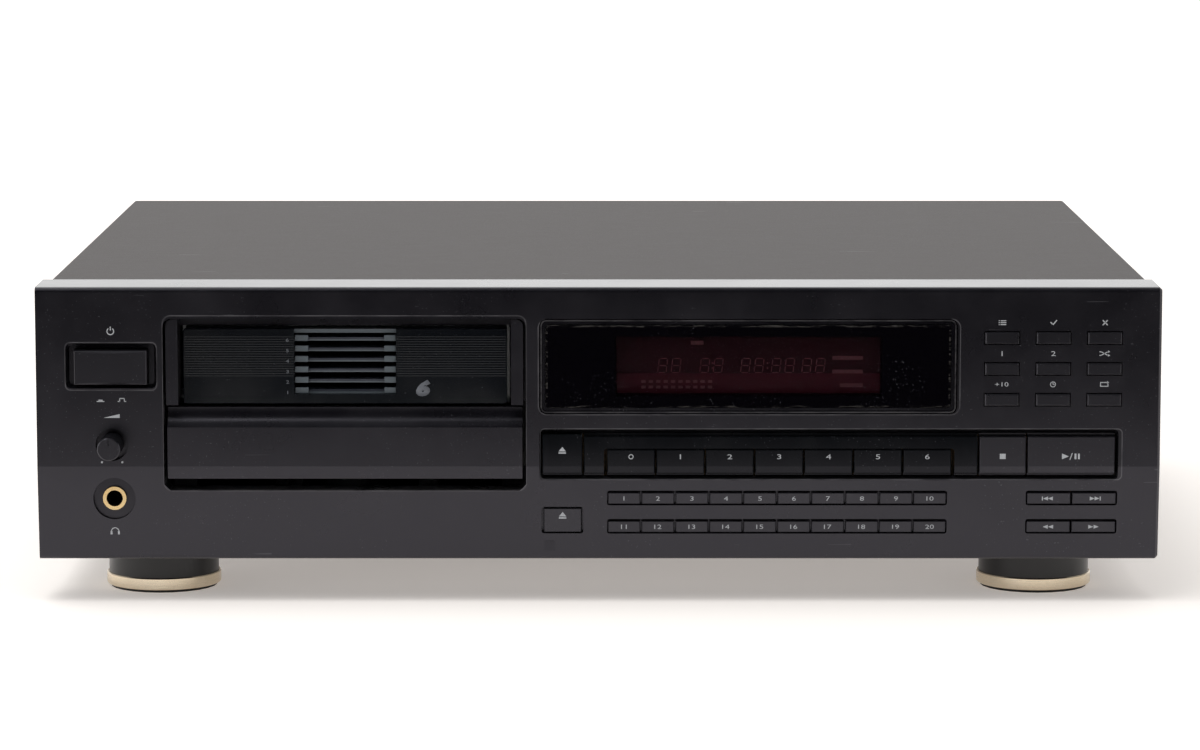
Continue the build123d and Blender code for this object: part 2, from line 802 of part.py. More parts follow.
def drawer_front():
    """Creased front with a concave cove along its upper edge."""
    x0 = bay_x - drawer_width / 2
    face_in = key_inset
    cove_z = drawer_z1 - cove_height
    low = face_in + face_back(drawer_z0)
    cove = ThreePointArc((face_in + cove_depth, drawer_z1),
                         (face_in + cove_depth * 0.75, drawer_z1 - cove_height * 0.6),
                         (face_in, cove_z))
    rest = Polyline((face_in, cove_z), (face_in, crease_z), (low, drawer_z0),
                    (drawer_depth, drawer_z0), (drawer_depth, drawer_z1),
                    (face_in + cove_depth, drawer_z1))
    profile = make_face(cove + rest)
    block = extrude(Plane.YZ.offset(x0) * profile, drawer_width)
    pocket = span(x0 + 3, x0 + drawer_width - 3, face_in + cove_depth + 2, drawer_depth + 1,
                  drawer_z0 + 2.5, drawer_z1 - 2.5)
    return block - pocket


def rack():
    """Straight rack under the tray, its teeth facing the pinion."""
    pitch = math.pi * gear_module
    count = int((drawer_travel + 4 * gear_module * math.pi) / pitch)
    tip = gear_module * math.tan(math.radians(20))
    half_tip = pitch / 4 - tip - backlash / 2
    half_root = pitch / 4 + 1.25 * tip - backlash / 2
    start = pinion_y - 2 * pitch
    outline = [(rack_line - 1.25 * gear_module - rack_back, start - pitch / 2)]
    outline.append((rack_line - 1.25 * gear_module, start - pitch / 2))
    for index in range(count):
        y = start + index * pitch
        root = rack_line - 1.25 * gear_module
        crest = rack_line + gear_module
        outline += [(root, y - half_root), (crest, y - half_tip),
                    (crest, y + half_tip), (root, y + half_root)]
    end = start + (count - 0.5) * pitch
    outline += [(rack_line - 1.25 * gear_module, end),
                (rack_line - 1.25 * gear_module - rack_back, end)]
    bar = extrude(Plane.XY.offset(tray_z0 - rack_height) * make_face(Polyline(*outline, close=True)),
                  rack_height)
    return bar


pinion_radius = gear_module * pinion_teeth / 2
pinion_x = bay_x + tray_width / 2 - 20.0
rack_line = pinion_x - pinion_radius
pinion_y = 34.0


tray_seat = tray_top - disc_sink
hub_slot_half = 20.0
small_disc_radius = 41.0
tray_web = 2.0                                # upright plate behind the drawer's front
slot_rear_wall = 12.0
pocket_side_wall = 8.0
pocket_rear_wall = 6.0
pocket_floor = 2.0


def tray_cuts():
    """What the deck and the rim both leave open: the hub slot and two pockets."""
    half = tray_width / 2
    low = tray_z0 - 1
    high = tray_top + 1
    cuts = rod_z(bay_x, disc_y, hub_slot_half, low, high)
    cuts += span(bay_x - hub_slot_half, bay_x + hub_slot_half, disc_y, tray_y1 - slot_rear_wall,
                 low, high)
    for side in (-1, 1):
        inner = bay_x + side * (hub_slot_half + pocket_rear_wall)
        outer = bay_x + side * (half - pocket_side_wall)
        cuts += span(min(inner, outer), max(inner, outer), disc_y + disc_diameter / 2 + 10,
                     tray_y1 - pocket_rear_wall, tray_z0 + pocket_floor, high)
    return cuts


def tray_deck():
    """Deck that the disc lies on, with its runners and the plate behind the front."""
    half = tray_width / 2
    deck = span(bay_x - half, bay_x + half, drawer_depth, tray_y1, tray_z0, tray_seat)
    deck += span(bay_x - half - runner_width, bay_x + half + runner_width, drawer_depth + 12,
                 tray_y1, tray_z0, tray_z0 + runner_height)
    deck -= rod_z(bay_x, disc_y, small_disc_radius, tray_seat - step_sink, tray_top)
    deck -= tray_cuts()
    return deck + span(bay_x - half + 4, bay_x + half - 4, drawer_depth, drawer_depth + tray_web,
                       drawer_z0 + 0.8, drawer_z1 - 0.8)


def tray_rim():
    """Raised frame round the disc, laid on the deck."""
    half = tray_width / 2
    rim = span(bay_x - half, bay_x + half, drawer_depth + tray_web, tray_y1, tray_seat, tray_top)
    rim -= rod_z(bay_x, disc_y, disc_diameter / 2 + disc_play, tray_seat - 1, tray_top + 1)
    return rim - tray_cuts()


nodes["drawer_front"] = drawer_front()
nodes["disc_tray"] = group(tray_deck(), tray_rim(), rack())

# ---- loading mechanism -----------------------------------------------------

frame_y0 = 28.0
frame_y1 = 262.0
deck_z1 = tray_z0 - rack_height - 2.5
deck_thickness = 2.5
guide_gap = 0.35
guide_lip = 2.2
guide_reach = 2.8
guide_wall = 4.0
guide_half = tray_width / 2 + runner_width + guide_gap
frame_half = guide_half + guide_wall
pinion_z0 = deck_z1 + 1.5
pinion_thickness = rack_height - 1.0
pinion_pin_radius = 2.5


def involute_point(base, angle):
    """Point of an involute unwound from the base circle."""
    return (base * (math.cos(angle) + angle * math.sin(angle)),
            base * (math.sin(angle) - angle * math.cos(angle)))


def pinion():
    """Spur gear with involute flanks; one tooth points at the rack's gap line."""
    pressure = math.radians(20)
    base = pinion_radius * math.cos(pressure)
    tip = pinion_radius + gear_module
    root = pinion_radius - 1.25 * gear_module
    involute = math.tan(pressure) - pressure
    half = math.pi / (2 * pinion_teeth) - backlash / (4 * pinion_radius)
    tooth = []
    for step in range(3):
        radius = base + (tip - base) * step / 2
        unwound = math.sqrt((radius / base) ** 2 - 1)
        angle = half + involute - (unwound - math.atan(unwound))
        tooth.append((radius, angle))
    outline = []
    for index in range(pinion_teeth):
        centre = math.pi + (index + 0.5) * 2 * math.pi / pinion_teeth
        flank = [(root, tooth[0][1])] + tooth
        for radius, angle in flank:
            outline.append((radius * math.cos(centre - angle), radius * math.sin(centre - angle)))
        for radius, angle in reversed(flank):
            outline.append((radius * math.cos(centre + angle), radius * math.sin(centre + angle)))
    gear = extrude(make_face(Polyline(*outline, close=True)), pinion_thickness)
    gear -= rod_z(0, 0, pinion_pin_radius + pin_play, -1, pinion_thickness + 1)
    return Pos(pinion_x, pinion_y, pinion_z0) * gear


def loader_frame():
    """Deck on four posts with a guide channel along each side of the tray."""
    deck = span(bay_x - frame_half, bay_x + frame_half, frame_y0, frame_y1,
                deck_z1 - deck_thickness, deck_z1)
    deck -= span(bay_x - 34, bay_x + 34, disc_y - 24, disc_y + 84,
                 deck_z1 - deck_thickness - 1, deck_z1 + 1)
    deck -= span(bay_x - 50, bay_x + 50, disc_y + 100, frame_y1 - 14,
                 deck_z1 - deck_thickness - 1, deck_z1 + 1)
    wall_top = magazine_z0 - 1.2
    for side in (-1, 1):
        inner = bay_x + side * guide_half
        outer = bay_x + side * frame_half
        reach = inner - side * guide_reach
        deck += span(min(inner, outer), max(inner, outer), frame_y0, frame_y1, deck_z1, wall_top)
        low = tray_z0 - guide_gap
        high = tray_z0 + runner_height + guide_gap
        deck += span(min(reach, outer), max(reach, outer), frame_y0, frame_y1, low - guide_lip, low)
        deck += span(min(reach, outer), max(reach, outer), frame_y0, frame_y1,
                     high, high + guide_lip)
    for x in (bay_x - frame_half + 6, bay_x + frame_half - 6):
        for y in (frame_y0 + 8, frame_y1 - 8):
            deck += span(x - 4.5, x + 4.5, y - 4.5, y + 4.5, bottom + chassis_sheet,
                         deck_z1 - deck_thickness)
    deck += rod_z(pinion_x, pinion_y, pinion_pin_radius, deck_z1, pinion_z0 + pinion_thickness)
    deck += span(pinion_x - 4.5, pinion_x + 4.5, pinion_y - 4.5, pinion_y + 4.5,
                 deck_z1, pinion_z0 - 0.1)
    return deck


nodes["loading_pinion"] = pinion()
nodes["loader_frame"] = loader_frame()

cage_sheet = 1.0
cage_y0 = collar_depth + 2.0
cage_y1 = magazine_inset + magazine_depth + 20


def magazine_cage():
    """Steel tunnel that guides the magazine, standing on the loader frame's walls."""
    floor_z1 = magazine_z0 + 0.4 - running_gap
    inner = magazine_width / 2 - 0.5 + running_gap
    roof = magazine_z1 - 0.4 + running_gap
    tunnel = span(bay_x - inner - cage_sheet, bay_x + inner + cage_sheet, cage_y0, cage_y1,
                  floor_z1 - cage_sheet, roof + cage_sheet)
    tunnel -= span(bay_x - inner, bay_x + inner, cage_y0 - 1, cage_y1 + 1, floor_z1, roof)
    tunnel -= span(bay_x - 35, bay_x + 35, cage_y0 + 20, cage_y1 + 1, floor_z1 - 3, floor_z1 + 1)
    tunnel -= span(bay_x - 45, bay_x + 45, cage_y0 + 30, cage_y1 - 30, roof - 1, roof + 3)
    return tunnel


def cage_brackets():
    """Feet that stand the cage on the loader frame's side walls."""
    feet = []
    floor_z0 = magazine_z0 + 0.4 - running_gap - cage_sheet
    wall_top = magazine_z0 - 1.2
    inner = magazine_width / 2 - 0.5 + running_gap + cage_sheet
    for side in (-1, 1):
        for y in (frame_y0 + 4, cage_y1 - 24):
            x0 = bay_x + side * inner
            x1 = bay_x + side * (frame_half - 0.5)
            foot = span(min(x0, x1), max(x0, x1), y, y + 20, wall_top, wall_top + 1.2)
            foot += span(min(x0, x0 + side * 1.2), max(x0, x0 + side * 1.2), y, y + 20,
                         wall_top, wall_top + 12)
            feet.append(foot)
    return feet


nodes["magazine_cage"] = magazine_cage() + cage_brackets()

# pickup below the tray's hub slot
pickup_z1 = deck_z1 - 4.0
pickup_sheet = 2.0
pickup_x0 = bay_x - 32
pickup_x1 = bay_x + 32
pickup_y0 = disc_y - 22
pickup_y1 = disc_y + 80
turntable_radius = 14.0
motor_radius = 12.0
motor_height = 14.0
rod_radius = 1.5
rod_offset = 20.0
sled_travel = 34.0
sled_start = disc_y + 22


def pickup_chassis():
    """Plate with the motor hole, the lens slot and posts for the guide rods."""
    plate = span(pickup_x0, pickup_x1, pickup_y0, pickup_y1, pickup_z1 - pickup_sheet, pickup_z1)
    plate -= span(bay_x - 4.5, bay_x + 4.5, disc_y - 4.5, disc_y + 4.5,
                  pickup_z1 - 5, pickup_z1 + 1)
    plate -= span(bay_x - 14, bay_x + 14, disc_y + 18, pickup_y1 - 6, pickup_z1 - 5, pickup_z1 + 1)
    for x in (bay_x - 29, bay_x + 29):
        for y in (pickup_y0 + 6, pickup_y1 - 6):
            plate += span(x - 2.4, x + 2.4, y - 2.4, y + 2.4, bottom + chassis_sheet,
                          pickup_z1 - pickup_sheet)
    for x in (bay_x - rod_offset, bay_x + rod_offset):
        for y in (sled_start - 3, pickup_y1 - 5):
            plate += span(x - 2.6, x + 2.6, y, y + 3, pickup_z1, pickup_z1 + 5.5)
    return plate


spindle_motor = rod_z(bay_x, disc_y, motor_radius, pickup_z1 - pickup_sheet - motor_height,
                      pickup_z1 - pickup_sheet)
turntable_z0 = pickup_z1 + 1.0
hub_radius = 7.4
hub_height = 4.0
spindle_radius = 3.0
spindle_sides = 12


def turntable():
    """Platter with the disc's centring cone and its spindle."""
    platter_z1 = turntable_z0 + 2.5
    profile = [(0, turntable_z0), (turntable_radius, turntable_z0),
               (turntable_radius, platter_z1), (hub_radius, platter_z1),
               (hub_radius - 1.2, platter_z1 + hub_height), (0, platter_z1 + hub_height)]
    turned = revolve(Plane.XZ * make_face(Polyline(*profile, close=True)), Axis.Z)
    spindle_z0 = pickup_z1 - pickup_sheet + running_gap
    spindle = extrude(Plane.XY.offset(spindle_z0) * RegularPolygon(spindle_radius, spindle_sides),
                      turntable_z0 - spindle_z0)
    return Pos(bay_x, disc_y, 0) * (turned + spindle)


nodes["turntable"] = turntable()


def sled_rods():
    """Two guide rods between their posts."""
    rods = []
    for x in (bay_x - rod_offset, bay_x + rod_offset):
        rods.append(rod_y(x, pickup_z1 + 3.0, rod_radius, sled_start, pickup_y1 - 5))
    return group(*rods)


def laser_sled():
    """Carriage with the lens: bored for one rod, forked over the other."""
    y0 = sled_start + 0.5
    body = span(bay_x - rod_offset - 3, bay_x + rod_offset + 3, y0, y0 + 16,
                pickup_z1 + 0.5, pickup_z1 + 5.5)
    reach = rod_radius + 0.15
    body -= rod_y(bay_x - rod_offset, pickup_z1 + 3.0, reach, y0 - 1, y0 + 17)
    body -= span(bay_x + rod_offset - reach, bay_x + rod_offset + 4, y0 - 1, y0 + 17,
                 pickup_z1 + 3.0 - reach, pickup_z1 + 3.0 + reach)
    body += rod_z(bay_x, y0 + 8, 3.4, pickup_z1 + 5.5, pickup_z1 + 7.0)
    return body


nodes["pickup_unit"] = group(pickup_chassis(), spindle_motor, sled_rods())
nodes["laser_sled"] = laser_sled()

# ---- chassis, cover and rear panel -----------------------------------------

cover_half = panel_width / 2 - cover_inset
cover_y0 = panel_depth + seam
cover_low = bottom + 2.0
chassis_half = cover_half - sheet - 0.1
rear_outer = body_depth - sheet
rear_inner = rear_outer - sheet
side_flange = 20.0
rear_flange = 7.0
stud_half = 2.4
board_lift = 8.0


def bottom_chassis():
    """Steel pan with upturned sides and rear, and studs for the boards."""
    floor_z1 = bottom + chassis_sheet
    y0 = panel_depth + seam
    y1 = rear_inner
    pan = span(-chassis_half, chassis_half, y0, y1, bottom, floor_z1 + side_flange)
    pan -= span(-chassis_half + chassis_sheet, chassis_half - chassis_sheet, y0 - 1,
                y1 - chassis_sheet, floor_z1, floor_z1 + side_flange + 1)
    pan -= span(-chassis_half + chassis_sheet, chassis_half - chassis_sheet, y1 - 2 * chassis_sheet,
                y1 + 1, floor_z1 + rear_flange, floor_z1 + side_flange + 1)
    for x, y in main_board_studs():
        pan += span(x - stud_half, x + stud_half, y - stud_half, y + stud_half,
                    floor_z1, floor_z1 + board_lift)
    return pan


main_x0 = collar_x1 + 18
main_x1 = right - 110
main_y0 = 60.0
main_y1 = rear_inner - 4


def main_board_studs():
    """Centres of the main board's four studs."""
    return [(x, y) for x in (main_x0 + 6, main_x1 - 6) for y in (main_y0 + 6, main_y1 - 6)]


nodes["bottom_chassis"] = bottom_chassis()
board_z0 = bottom + chassis_sheet + board_lift
board_z1 = board_z0 + board_thickness
main_board = span(main_x0, main_x1, main_y0, main_y1, board_z0, board_z1)


def board_parts():
    """Capacitors, chips and a heat sink that stand on the main board."""
    parts = []
    for index in range(3):
        x = main_x0 + 24 + index * 22
        parts.append(rod_z(x, main_y1 - 60, 7.0, board_z1, board_z1 + 20))
    for x, y, w, d in ((main_x0 + 50, main_y0 + 50, 22, 22), (main_x0 + 95, main_y0 + 46, 30, 10),
                       (main_x0 + 95, main_y0 + 70, 30, 10), (main_x0 + 30, main_y0 + 88, 14, 14)):
        parts.append(span(x - w / 2, x + w / 2, y - d / 2, y + d / 2, board_z1, board_z1 + 3))
    sink = span(main_x1 - 50, main_x1 - 14, main_y1 - 86, main_y1 - 83, board_z1, board_z1 + 26)
    for index in range(6):
        x = main_x1 - 48 + index * 6
        sink += span(x, x + 1.4, main_y1 - 98, main_y1 - 86, board_z1, board_z1 + 26)
    parts.append(sink)
    return group(*parts)


nodes["main_board"] = group(main_board, board_parts())

transformer_x = right - 60
transformer_y = rear_outer - 70
core_height = 44.0
coil_overhang = 9.0


def transformer_core():
    """Laminated iron core on two feet."""
    z0 = bottom + chassis_sheet
    core = span(transformer_x - 30, transformer_x + 30, transformer_y - 12, transformer_y + 12,
                z0, z0 + core_height)
    core += span(transformer_x - 40, transformer_x + 40, transformer_y - 9, transformer_y + 9,
                 z0, z0 + 1.5)
    for x0 in (transformer_x - 20, transformer_x + 8):
        core -= span(x0, x0 + 12, transformer_y - 13, transformer_y + 13, z0 + 9,
                     z0 + core_height - 9)
    return core


def transformer_coil():
    """Wound coil round the core's middle leg."""
    z0 = bottom + chassis_sheet + 9
    z1 = z0 + core_height - 18
    outer = 12 + coil_overhang
    coil = span(transformer_x - 20, transformer_x + 20, transformer_y - outer,
                transformer_y + outer, z0, z1)
    coil = chamfer(coil.edges().filter_by(Axis.Z), 3)
    coil -= span(transformer_x - 30, transformer_x - 8, transformer_y - 12.1,
                 transformer_y + 12.1, z0 - 1, z1 + 1) & span(
        transformer_x - 30, transformer_x - 20, transformer_y - 13, transformer_y + 13,
        z0 - 1, z1 + 1)
    return coil - span(transformer_x - 8, transformer_x + 8, transformer_y - 12,
                       transformer_y + 12, z0 - 1, z1 + 1)


nodes["transformer"] = group(transformer_core(), transformer_coil())


def top_cover():
    """Folded sheet: roof, two sides and a lip over the rear panel."""
    y1 = body_depth
    roof_z = body_top - top_hairline
    shell = span(-cover_half, cover_half, cover_y0, y1, cover_low, roof_z)
    bends = [e for e in shell.edges().filter_by(Axis.Y) if e.center().Z > roof_z - 1]
    shell = fillet(bends, 2.0)
    shell -= span(-cover_half + sheet, cover_half - sheet, cover_y0 - 1, rear_outer,
                  cover_low - 1, roof_z - sheet)
    shell -= span(-cover_half + sheet, cover_half - sheet, rear_outer - 1, y1 + 1,
                  cover_low - 1, roof_z - 12)
    return shell


nodes["top_cover"] = top_cover()

socket_x = 58.0
socket_pitch = 14.0
socket_block_half = 12.5
socket_z = bottom + 36
socket_radius = 4.2
socket_bore = 1.7
socket_bore_sides = 8
socket_screw_z = socket_z + 9.5
barrel = 9.0
gland_x = right - 46
gland_z = bottom + 30


def rear_panel():
    """Rear sheet with the cut-outs for the sockets and the gland."""
    z0 = bottom + chassis_sheet + 0.1
    sheet_panel = span(-chassis_half, chassis_half, rear_inner, rear_outer, z0,
                       body_top - top_hairline - sheet - 0.1)
    half = socket_block_half + fit_gap
    sheet_panel -= span(socket_x - half, socket_x + half, rear_inner - 1, rear_outer + 1,
                        socket_z - socket_radius - 1 - fit_gap,
                        socket_z + socket_radius + 1 + fit_gap)
    sheet_panel -= rounded(gland_x - 6, gland_x + 6, gland_z - 5, gland_z + 5, 3,
                           rear_inner - 1, rear_outer + 1)
    return sheet_panel


def output_sockets():
    """Pair of phono sockets: moulded body with two barrels through the panel."""
    body = span(socket_x - 14, socket_x + 14, rear_inner - 11, rear_inner, board_z1,
                socket_screw_z + 5)
    body += span(socket_x - socket_block_half, socket_x + socket_block_half, rear_inner,
                 rear_outer, socket_z - socket_radius - 1, socket_z + socket_radius + 1)
    for x in (socket_x - socket_pitch / 2, socket_x + socket_pitch / 2):
        body += rod_y(x, socket_z, socket_radius, rear_outer, rear_outer + barrel)
        plane = facing(x, rear_outer + barrel, socket_z)
        body -= extrude(plane * RegularPolygon(socket_bore, socket_bore_sides), barrel)
    return body


def cord_gland():
    """Moulded bush where the mains lead would leave the rear."""
    bush = rounded(gland_x - 5.8, gland_x + 5.8, gland_z - 4.8, gland_z + 4.8, 2.8,
                   rear_inner - 4, rear_outer)
    bush += rounded(gland_x - 8, gland_x + 8, gland_z - 7, gland_z + 7, 4,
                    rear_outer, rear_outer + 3)
    bush += rounded(gland_x - 8, gland_x + 8, gland_z - 7, gland_z + 7, 4,
                    rear_inner - 4, rear_inner)
    return bush - rod_y(gland_x, gland_z, 3.1, rear_inner - 5, rear_outer + 4)


nodes["rear_panel"] = rear_panel()
nodes["output_sockets"] = output_sockets()
nodes["cord_gland"] = cord_gland()


case_screw_radius = 3.6
case_screw_height = 2.2
case_screw_sides = 12


def pan_head(direction):
    """Flat screw head, whose recess is left to the visual model."""
    return direction * extrude(RegularPolygon(case_screw_radius, case_screw_sides),
                               case_screw_height)


def cover_screws():
    """Screws through the cover: two on each side and three at the rear."""
    screws = []
    side_z = bottom + chassis_sheet + side_flange / 2
    for y in (cover_y0 + 60, body_depth - 70):
        screws.append(Pos(cover_half, y, side_z) * pan_head(Rot(0, 90, 0)))
        screws.append(Pos(-cover_half, y, side_z) * pan_head(Rot(0, -90, 0)))
    for x in (-cover_half + 25, 0, cover_half - 25):
        screws.append(Pos(x, body_depth, body_top - 7) * pan_head(Rot(-90, 0, 0)))
    return group(*screws)


def rear_screws():
    """Screws that hold the rear panel and the sockets."""
    screws = []
    low = bottom + chassis_sheet + rear_flange / 2
    for x, z in ((-chassis_half + 20, low), (0, low), (chassis_half - 20, low),
                 (socket_x, socket_screw_z)):
        screws.append(Pos(x, rear_outer, z) * pan_head(Rot(-90, 0, 0)))
    return group(*screws)


nodes["case_screws"] = group(cover_screws(), rear_screws())

# ---- feet ------------------------------------------------------------------


def feet(piece):
    """The same piece at the four foot places."""
    copies = []
    for x in (left + foot_side_inset, right - foot_side_inset):
        for y in (foot_front_inset, body_depth - foot_rear_inset):
            copies.append(Pos(x, y, 0) * piece)
    return group(*copies)


ring_top = pad_thickness + ring_height
nodes["foot_bodies"] = feet(rod_z(0, 0, foot_radius, ring_top, foot_height))
nodes["foot_rings"] = feet(rod_z(0, 0, ring_radius, pad_thickness, ring_top))
nodes["foot_pads"] = feet(extrude(RegularPolygon(pad_radius, pad_sides), pad_thickness))

# ---- export ----------------------------------------------------------------

whole_front = -knob_proud
whole_rear = rear_outer + barrel
to_middle = Pos(0, -(whole_front + whole_rear) / 2, 0)

os.makedirs("parts", exist_ok=True)
for name, shape in nodes.items():
    placed = [to_middle * solid for solid in shape.solids()]
    whole = placed[0] if len(placed) == 1 else Compound(children=placed)
    export_step(whole, f"parts/{name}.step")
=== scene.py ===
import json
import math

import bmesh
import bpy
from mathutils import Matrix, Vector


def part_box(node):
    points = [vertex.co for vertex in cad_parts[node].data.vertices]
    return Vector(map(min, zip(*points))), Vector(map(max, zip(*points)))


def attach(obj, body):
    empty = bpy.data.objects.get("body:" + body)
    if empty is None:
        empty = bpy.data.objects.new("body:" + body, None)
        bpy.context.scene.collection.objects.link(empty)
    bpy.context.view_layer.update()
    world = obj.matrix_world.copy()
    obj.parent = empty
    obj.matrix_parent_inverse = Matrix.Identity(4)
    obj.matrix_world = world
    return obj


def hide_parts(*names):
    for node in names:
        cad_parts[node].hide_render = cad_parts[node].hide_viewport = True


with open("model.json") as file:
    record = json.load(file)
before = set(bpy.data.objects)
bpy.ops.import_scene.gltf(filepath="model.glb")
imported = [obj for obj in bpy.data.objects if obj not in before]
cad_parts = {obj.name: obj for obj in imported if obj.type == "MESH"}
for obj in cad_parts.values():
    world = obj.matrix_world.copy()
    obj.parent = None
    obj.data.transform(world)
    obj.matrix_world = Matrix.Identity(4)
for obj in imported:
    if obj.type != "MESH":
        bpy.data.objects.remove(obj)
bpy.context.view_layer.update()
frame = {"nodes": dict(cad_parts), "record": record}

nodes = frame["nodes"]
slotOf = {part["node"]: part["material_slot"] for part in frame["record"]["subparts"]}
mm = 0.001
print("frame loaded:", len(nodes), "nodes")


# Shader maths: a socket that can be added, multiplied and compared.
class Value:
    def __init__(self, sheet, socket):
        self.sheet = sheet
        self.socket = socket

    def math(self, operation, *others):
        values = [self.socket] + [getattr(other, "socket", other) for other in others]
        return self.sheet.node("Math", {"operation": operation}, dict(enumerate(values)))

    def __add__(self, other):
        return self.math("ADD", other)

    __radd__ = __add__

    def __mul__(self, other):
        return self.math("MULTIPLY", other)

    __rmul__ = __mul__

    def __sub__(self, other):
        return self.math("SUBTRACT", other)

    def __rsub__(self, other):
        return self.sheet.node("Math", {"operation": "SUBTRACT"}, {0: other, 1: self.socket})

    def __truediv__(self, other):
        return self.math("DIVIDE", other)

    def __gt__(self, other):
        return self.math("GREATER_THAN", other)

    def __lt__(self, other):
        return self.math("LESS_THAN", other)

    def sine(self):
        return self.math("SINE")

    def size(self):
        return self.math("ABSOLUTE")

    def power(self, exponent):
        return self.math("POWER", exponent)

    def smaller(self, other):
        return self.math("MINIMUM", other)

    def larger(self, other):
        return self.math("MAXIMUM", other)

    def within(self, low, high, soft):
        # 1 between low and high, fading to 0 over soft
        up = self.ramp(low - soft / 2, low + soft / 2)
        down = self.ramp(high - soft / 2, high + soft / 2)
        return up - down

    def ramp(self, low, high, outLow=0.0, outHigh=1.0):
        sockets = {"Value": self.socket, "From Min": low, "From Max": high,
                   "To Min": outLow, "To Max": outHigh}
        return self.sheet.node("MapRange", {"interpolation_type": "SMOOTHSTEP"}, sockets)


# One node tree: a material's or the world's.
class Sheet:
    def __init__(self, owner):
        owner.use_nodes = True
        self.owner = owner
        self.tree = owner.node_tree
        self.tree.nodes.clear()

    def node(self, kind, settings=None, sockets=None, output=0):
        made = self.tree.nodes.new("ShaderNode" + kind)
        for name, setting in (settings or {}).items():
            setattr(made, name, setting)
        for name, value in (sockets or {}).items():
            source = getattr(value, "socket", value)
            target = made.inputs[name]
            if isinstance(source, bpy.types.NodeSocket):
                self.tree.links.new(source, target)
            else:
                target.default_value = source
        return Value(self, made.outputs[output]) if made.outputs else made

    def place(self):
        return self.node("TexCoord", output=3)

    def axes(self):
        place = self.place()
        split = self.tree.nodes.new("ShaderNodeSeparateXYZ")
        self.tree.links.new(place.socket, split.inputs[0])
        return [Value(self, socket) for socket in split.outputs]

    def stretched(self, x, y, z):
        return self.node("Mapping", {}, {"Vector": self.place(), "Scale": (x, y, z)})

    def noise(self, scale, detail=3.0, rough=0.5, vector=None, distortion=0.0):
        sockets = {"Vector": vector or self.place(), "Scale": scale, "Detail": detail,
                   "Roughness": rough, "Distortion": distortion}
        return self.node("TexNoise", {}, sockets)

    def tint(self, factor, low, high):
        # colour from low to high by a value
        low = low if isinstance(low, Value) else (*low, 1.0)
        high = high if isinstance(high, Value) else (*high, 1.0)
        return self.node("Mix", {"data_type": "RGBA"}, {0: factor, 6: low, 7: high}, output=2)

    def bump(self, height, strength, distance):
        return self.node("Bump", {}, {"Strength": strength, "Distance": distance, "Height": height})

    def surface(self, **inputs):
        names = {"colour": "Base Color", "roughness": "Roughness", "metallic": "Metallic",
                 "coat": "Coat Weight", "coatRoughness": "Coat Roughness", "alpha": "Alpha",
                 "normal": "Normal", "specular": "Specular IOR Level",
                 "specularColour": "Specular Tint"}
        sockets = {}
        for key, value in inputs.items():
            if key in ("colour", "specularColour") and not isinstance(value, Value):
                value = (*value, 1.0)
            sockets[names[key]] = value
        shader = self.node("BsdfPrincipled", {}, sockets)
        self.node("OutputMaterial", {}, {"Surface": shader})
        return self.owner


def newSheet(name):
    return Sheet(bpy.data.materials.new(name))


# Where the pieces of the front are, in metres, in the frame of the parts.
panelLow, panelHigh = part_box("front_panel")
face = {
    "front": panelLow[1],          # the panel's face, above the crease
    "crease": 54.5 * mm,           # height of the crease
    "lean": 3.0 / 37.3,            # how far the face leans back per unit below the crease
    "keyInset": 0.3 * mm,          # key caps lie this far behind the face
    "flange": 1.2 * mm,            # rim round each key, behind the panel
}


def faceDepth(z, inset=0.0):
    back = max(0.0, face["crease"] - z) * face["lean"]
    return face["front"] + inset + back


def faceTilt(z):
    return -math.atan(face["lean"]) if z < face["crease"] else 0.0


# The materials, one function per slot.

plasticLook = {
    "colour": (0.0042, 0.0039, 0.0058),
    "smudge": (0.0064, 0.0060, 0.0082),
    "roughness": (0.27, 0.33),
    "shine": 0.58,
    "shineColour": (0.90, 0.88, 1.0),
    "grain": 2600.0,
    "grainDepth": 0.06,
    "dust": (0.10, 0.10, 0.11),
    "scratch": (0.12, 0.12, 0.13),
}


def dustSpecks(sheet, scale, threshold):
    # sparse tiny bright specks
    specks = sheet.noise(scale, 1.0, 0.4)
    patches = sheet.noise(26.0, 2.0, 0.5)
    return (specks > threshold) * (patches > 0.52)


def hairScratches(sheet, x, y, z, threshold):
    # thin lines along the stretched axis, broken up by a coarser noise
    lines = sheet.noise(1.0, 2.0, 0.5, sheet.stretched(x, y, z))
    breaks = sheet.noise(40.0, 1.0, 0.5)
    return (lines > threshold) * (breaks > 0.56)


def mouldedSurface(sheet, look, colour, rough, normal):
    return sheet.surface(colour=colour, roughness=rough, normal=normal, specular=look["shine"],
                         specularColour=look["shineColour"])


def mouldedPlastic(name, look):
    sheet = newSheet(name)
    wear = sheet.noise(34.0, 4.0, 0.6)
    fingers = sheet.noise(9.0, 2.0, 0.5, distortion=0.6)
    rough = wear.ramp(0.35, 0.7, *look["roughness"]) + fingers.ramp(0.5, 0.75, 0.0, 0.05)
    colour = sheet.tint(wear.ramp(0.4, 0.7), look["colour"], look["smudge"])
    specks = dustSpecks(sheet, 1500.0, 0.74)
    colour = sheet.tint(specks * 0.5, colour, look["dust"])
    grain = sheet.noise(look["grain"], 2.0, 0.6)
    normal = sheet.bump(grain, look["grainDepth"], 0.00004)
    return sheet, colour, rough, normal


def around(nodeName, side, below, above):
    # rectangle on the face, grown from a node's box: x from and to, z from and to
    low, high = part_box(nodeName)
    return low[0] - side, high[0] + side, low[2] - below, high[2] + above


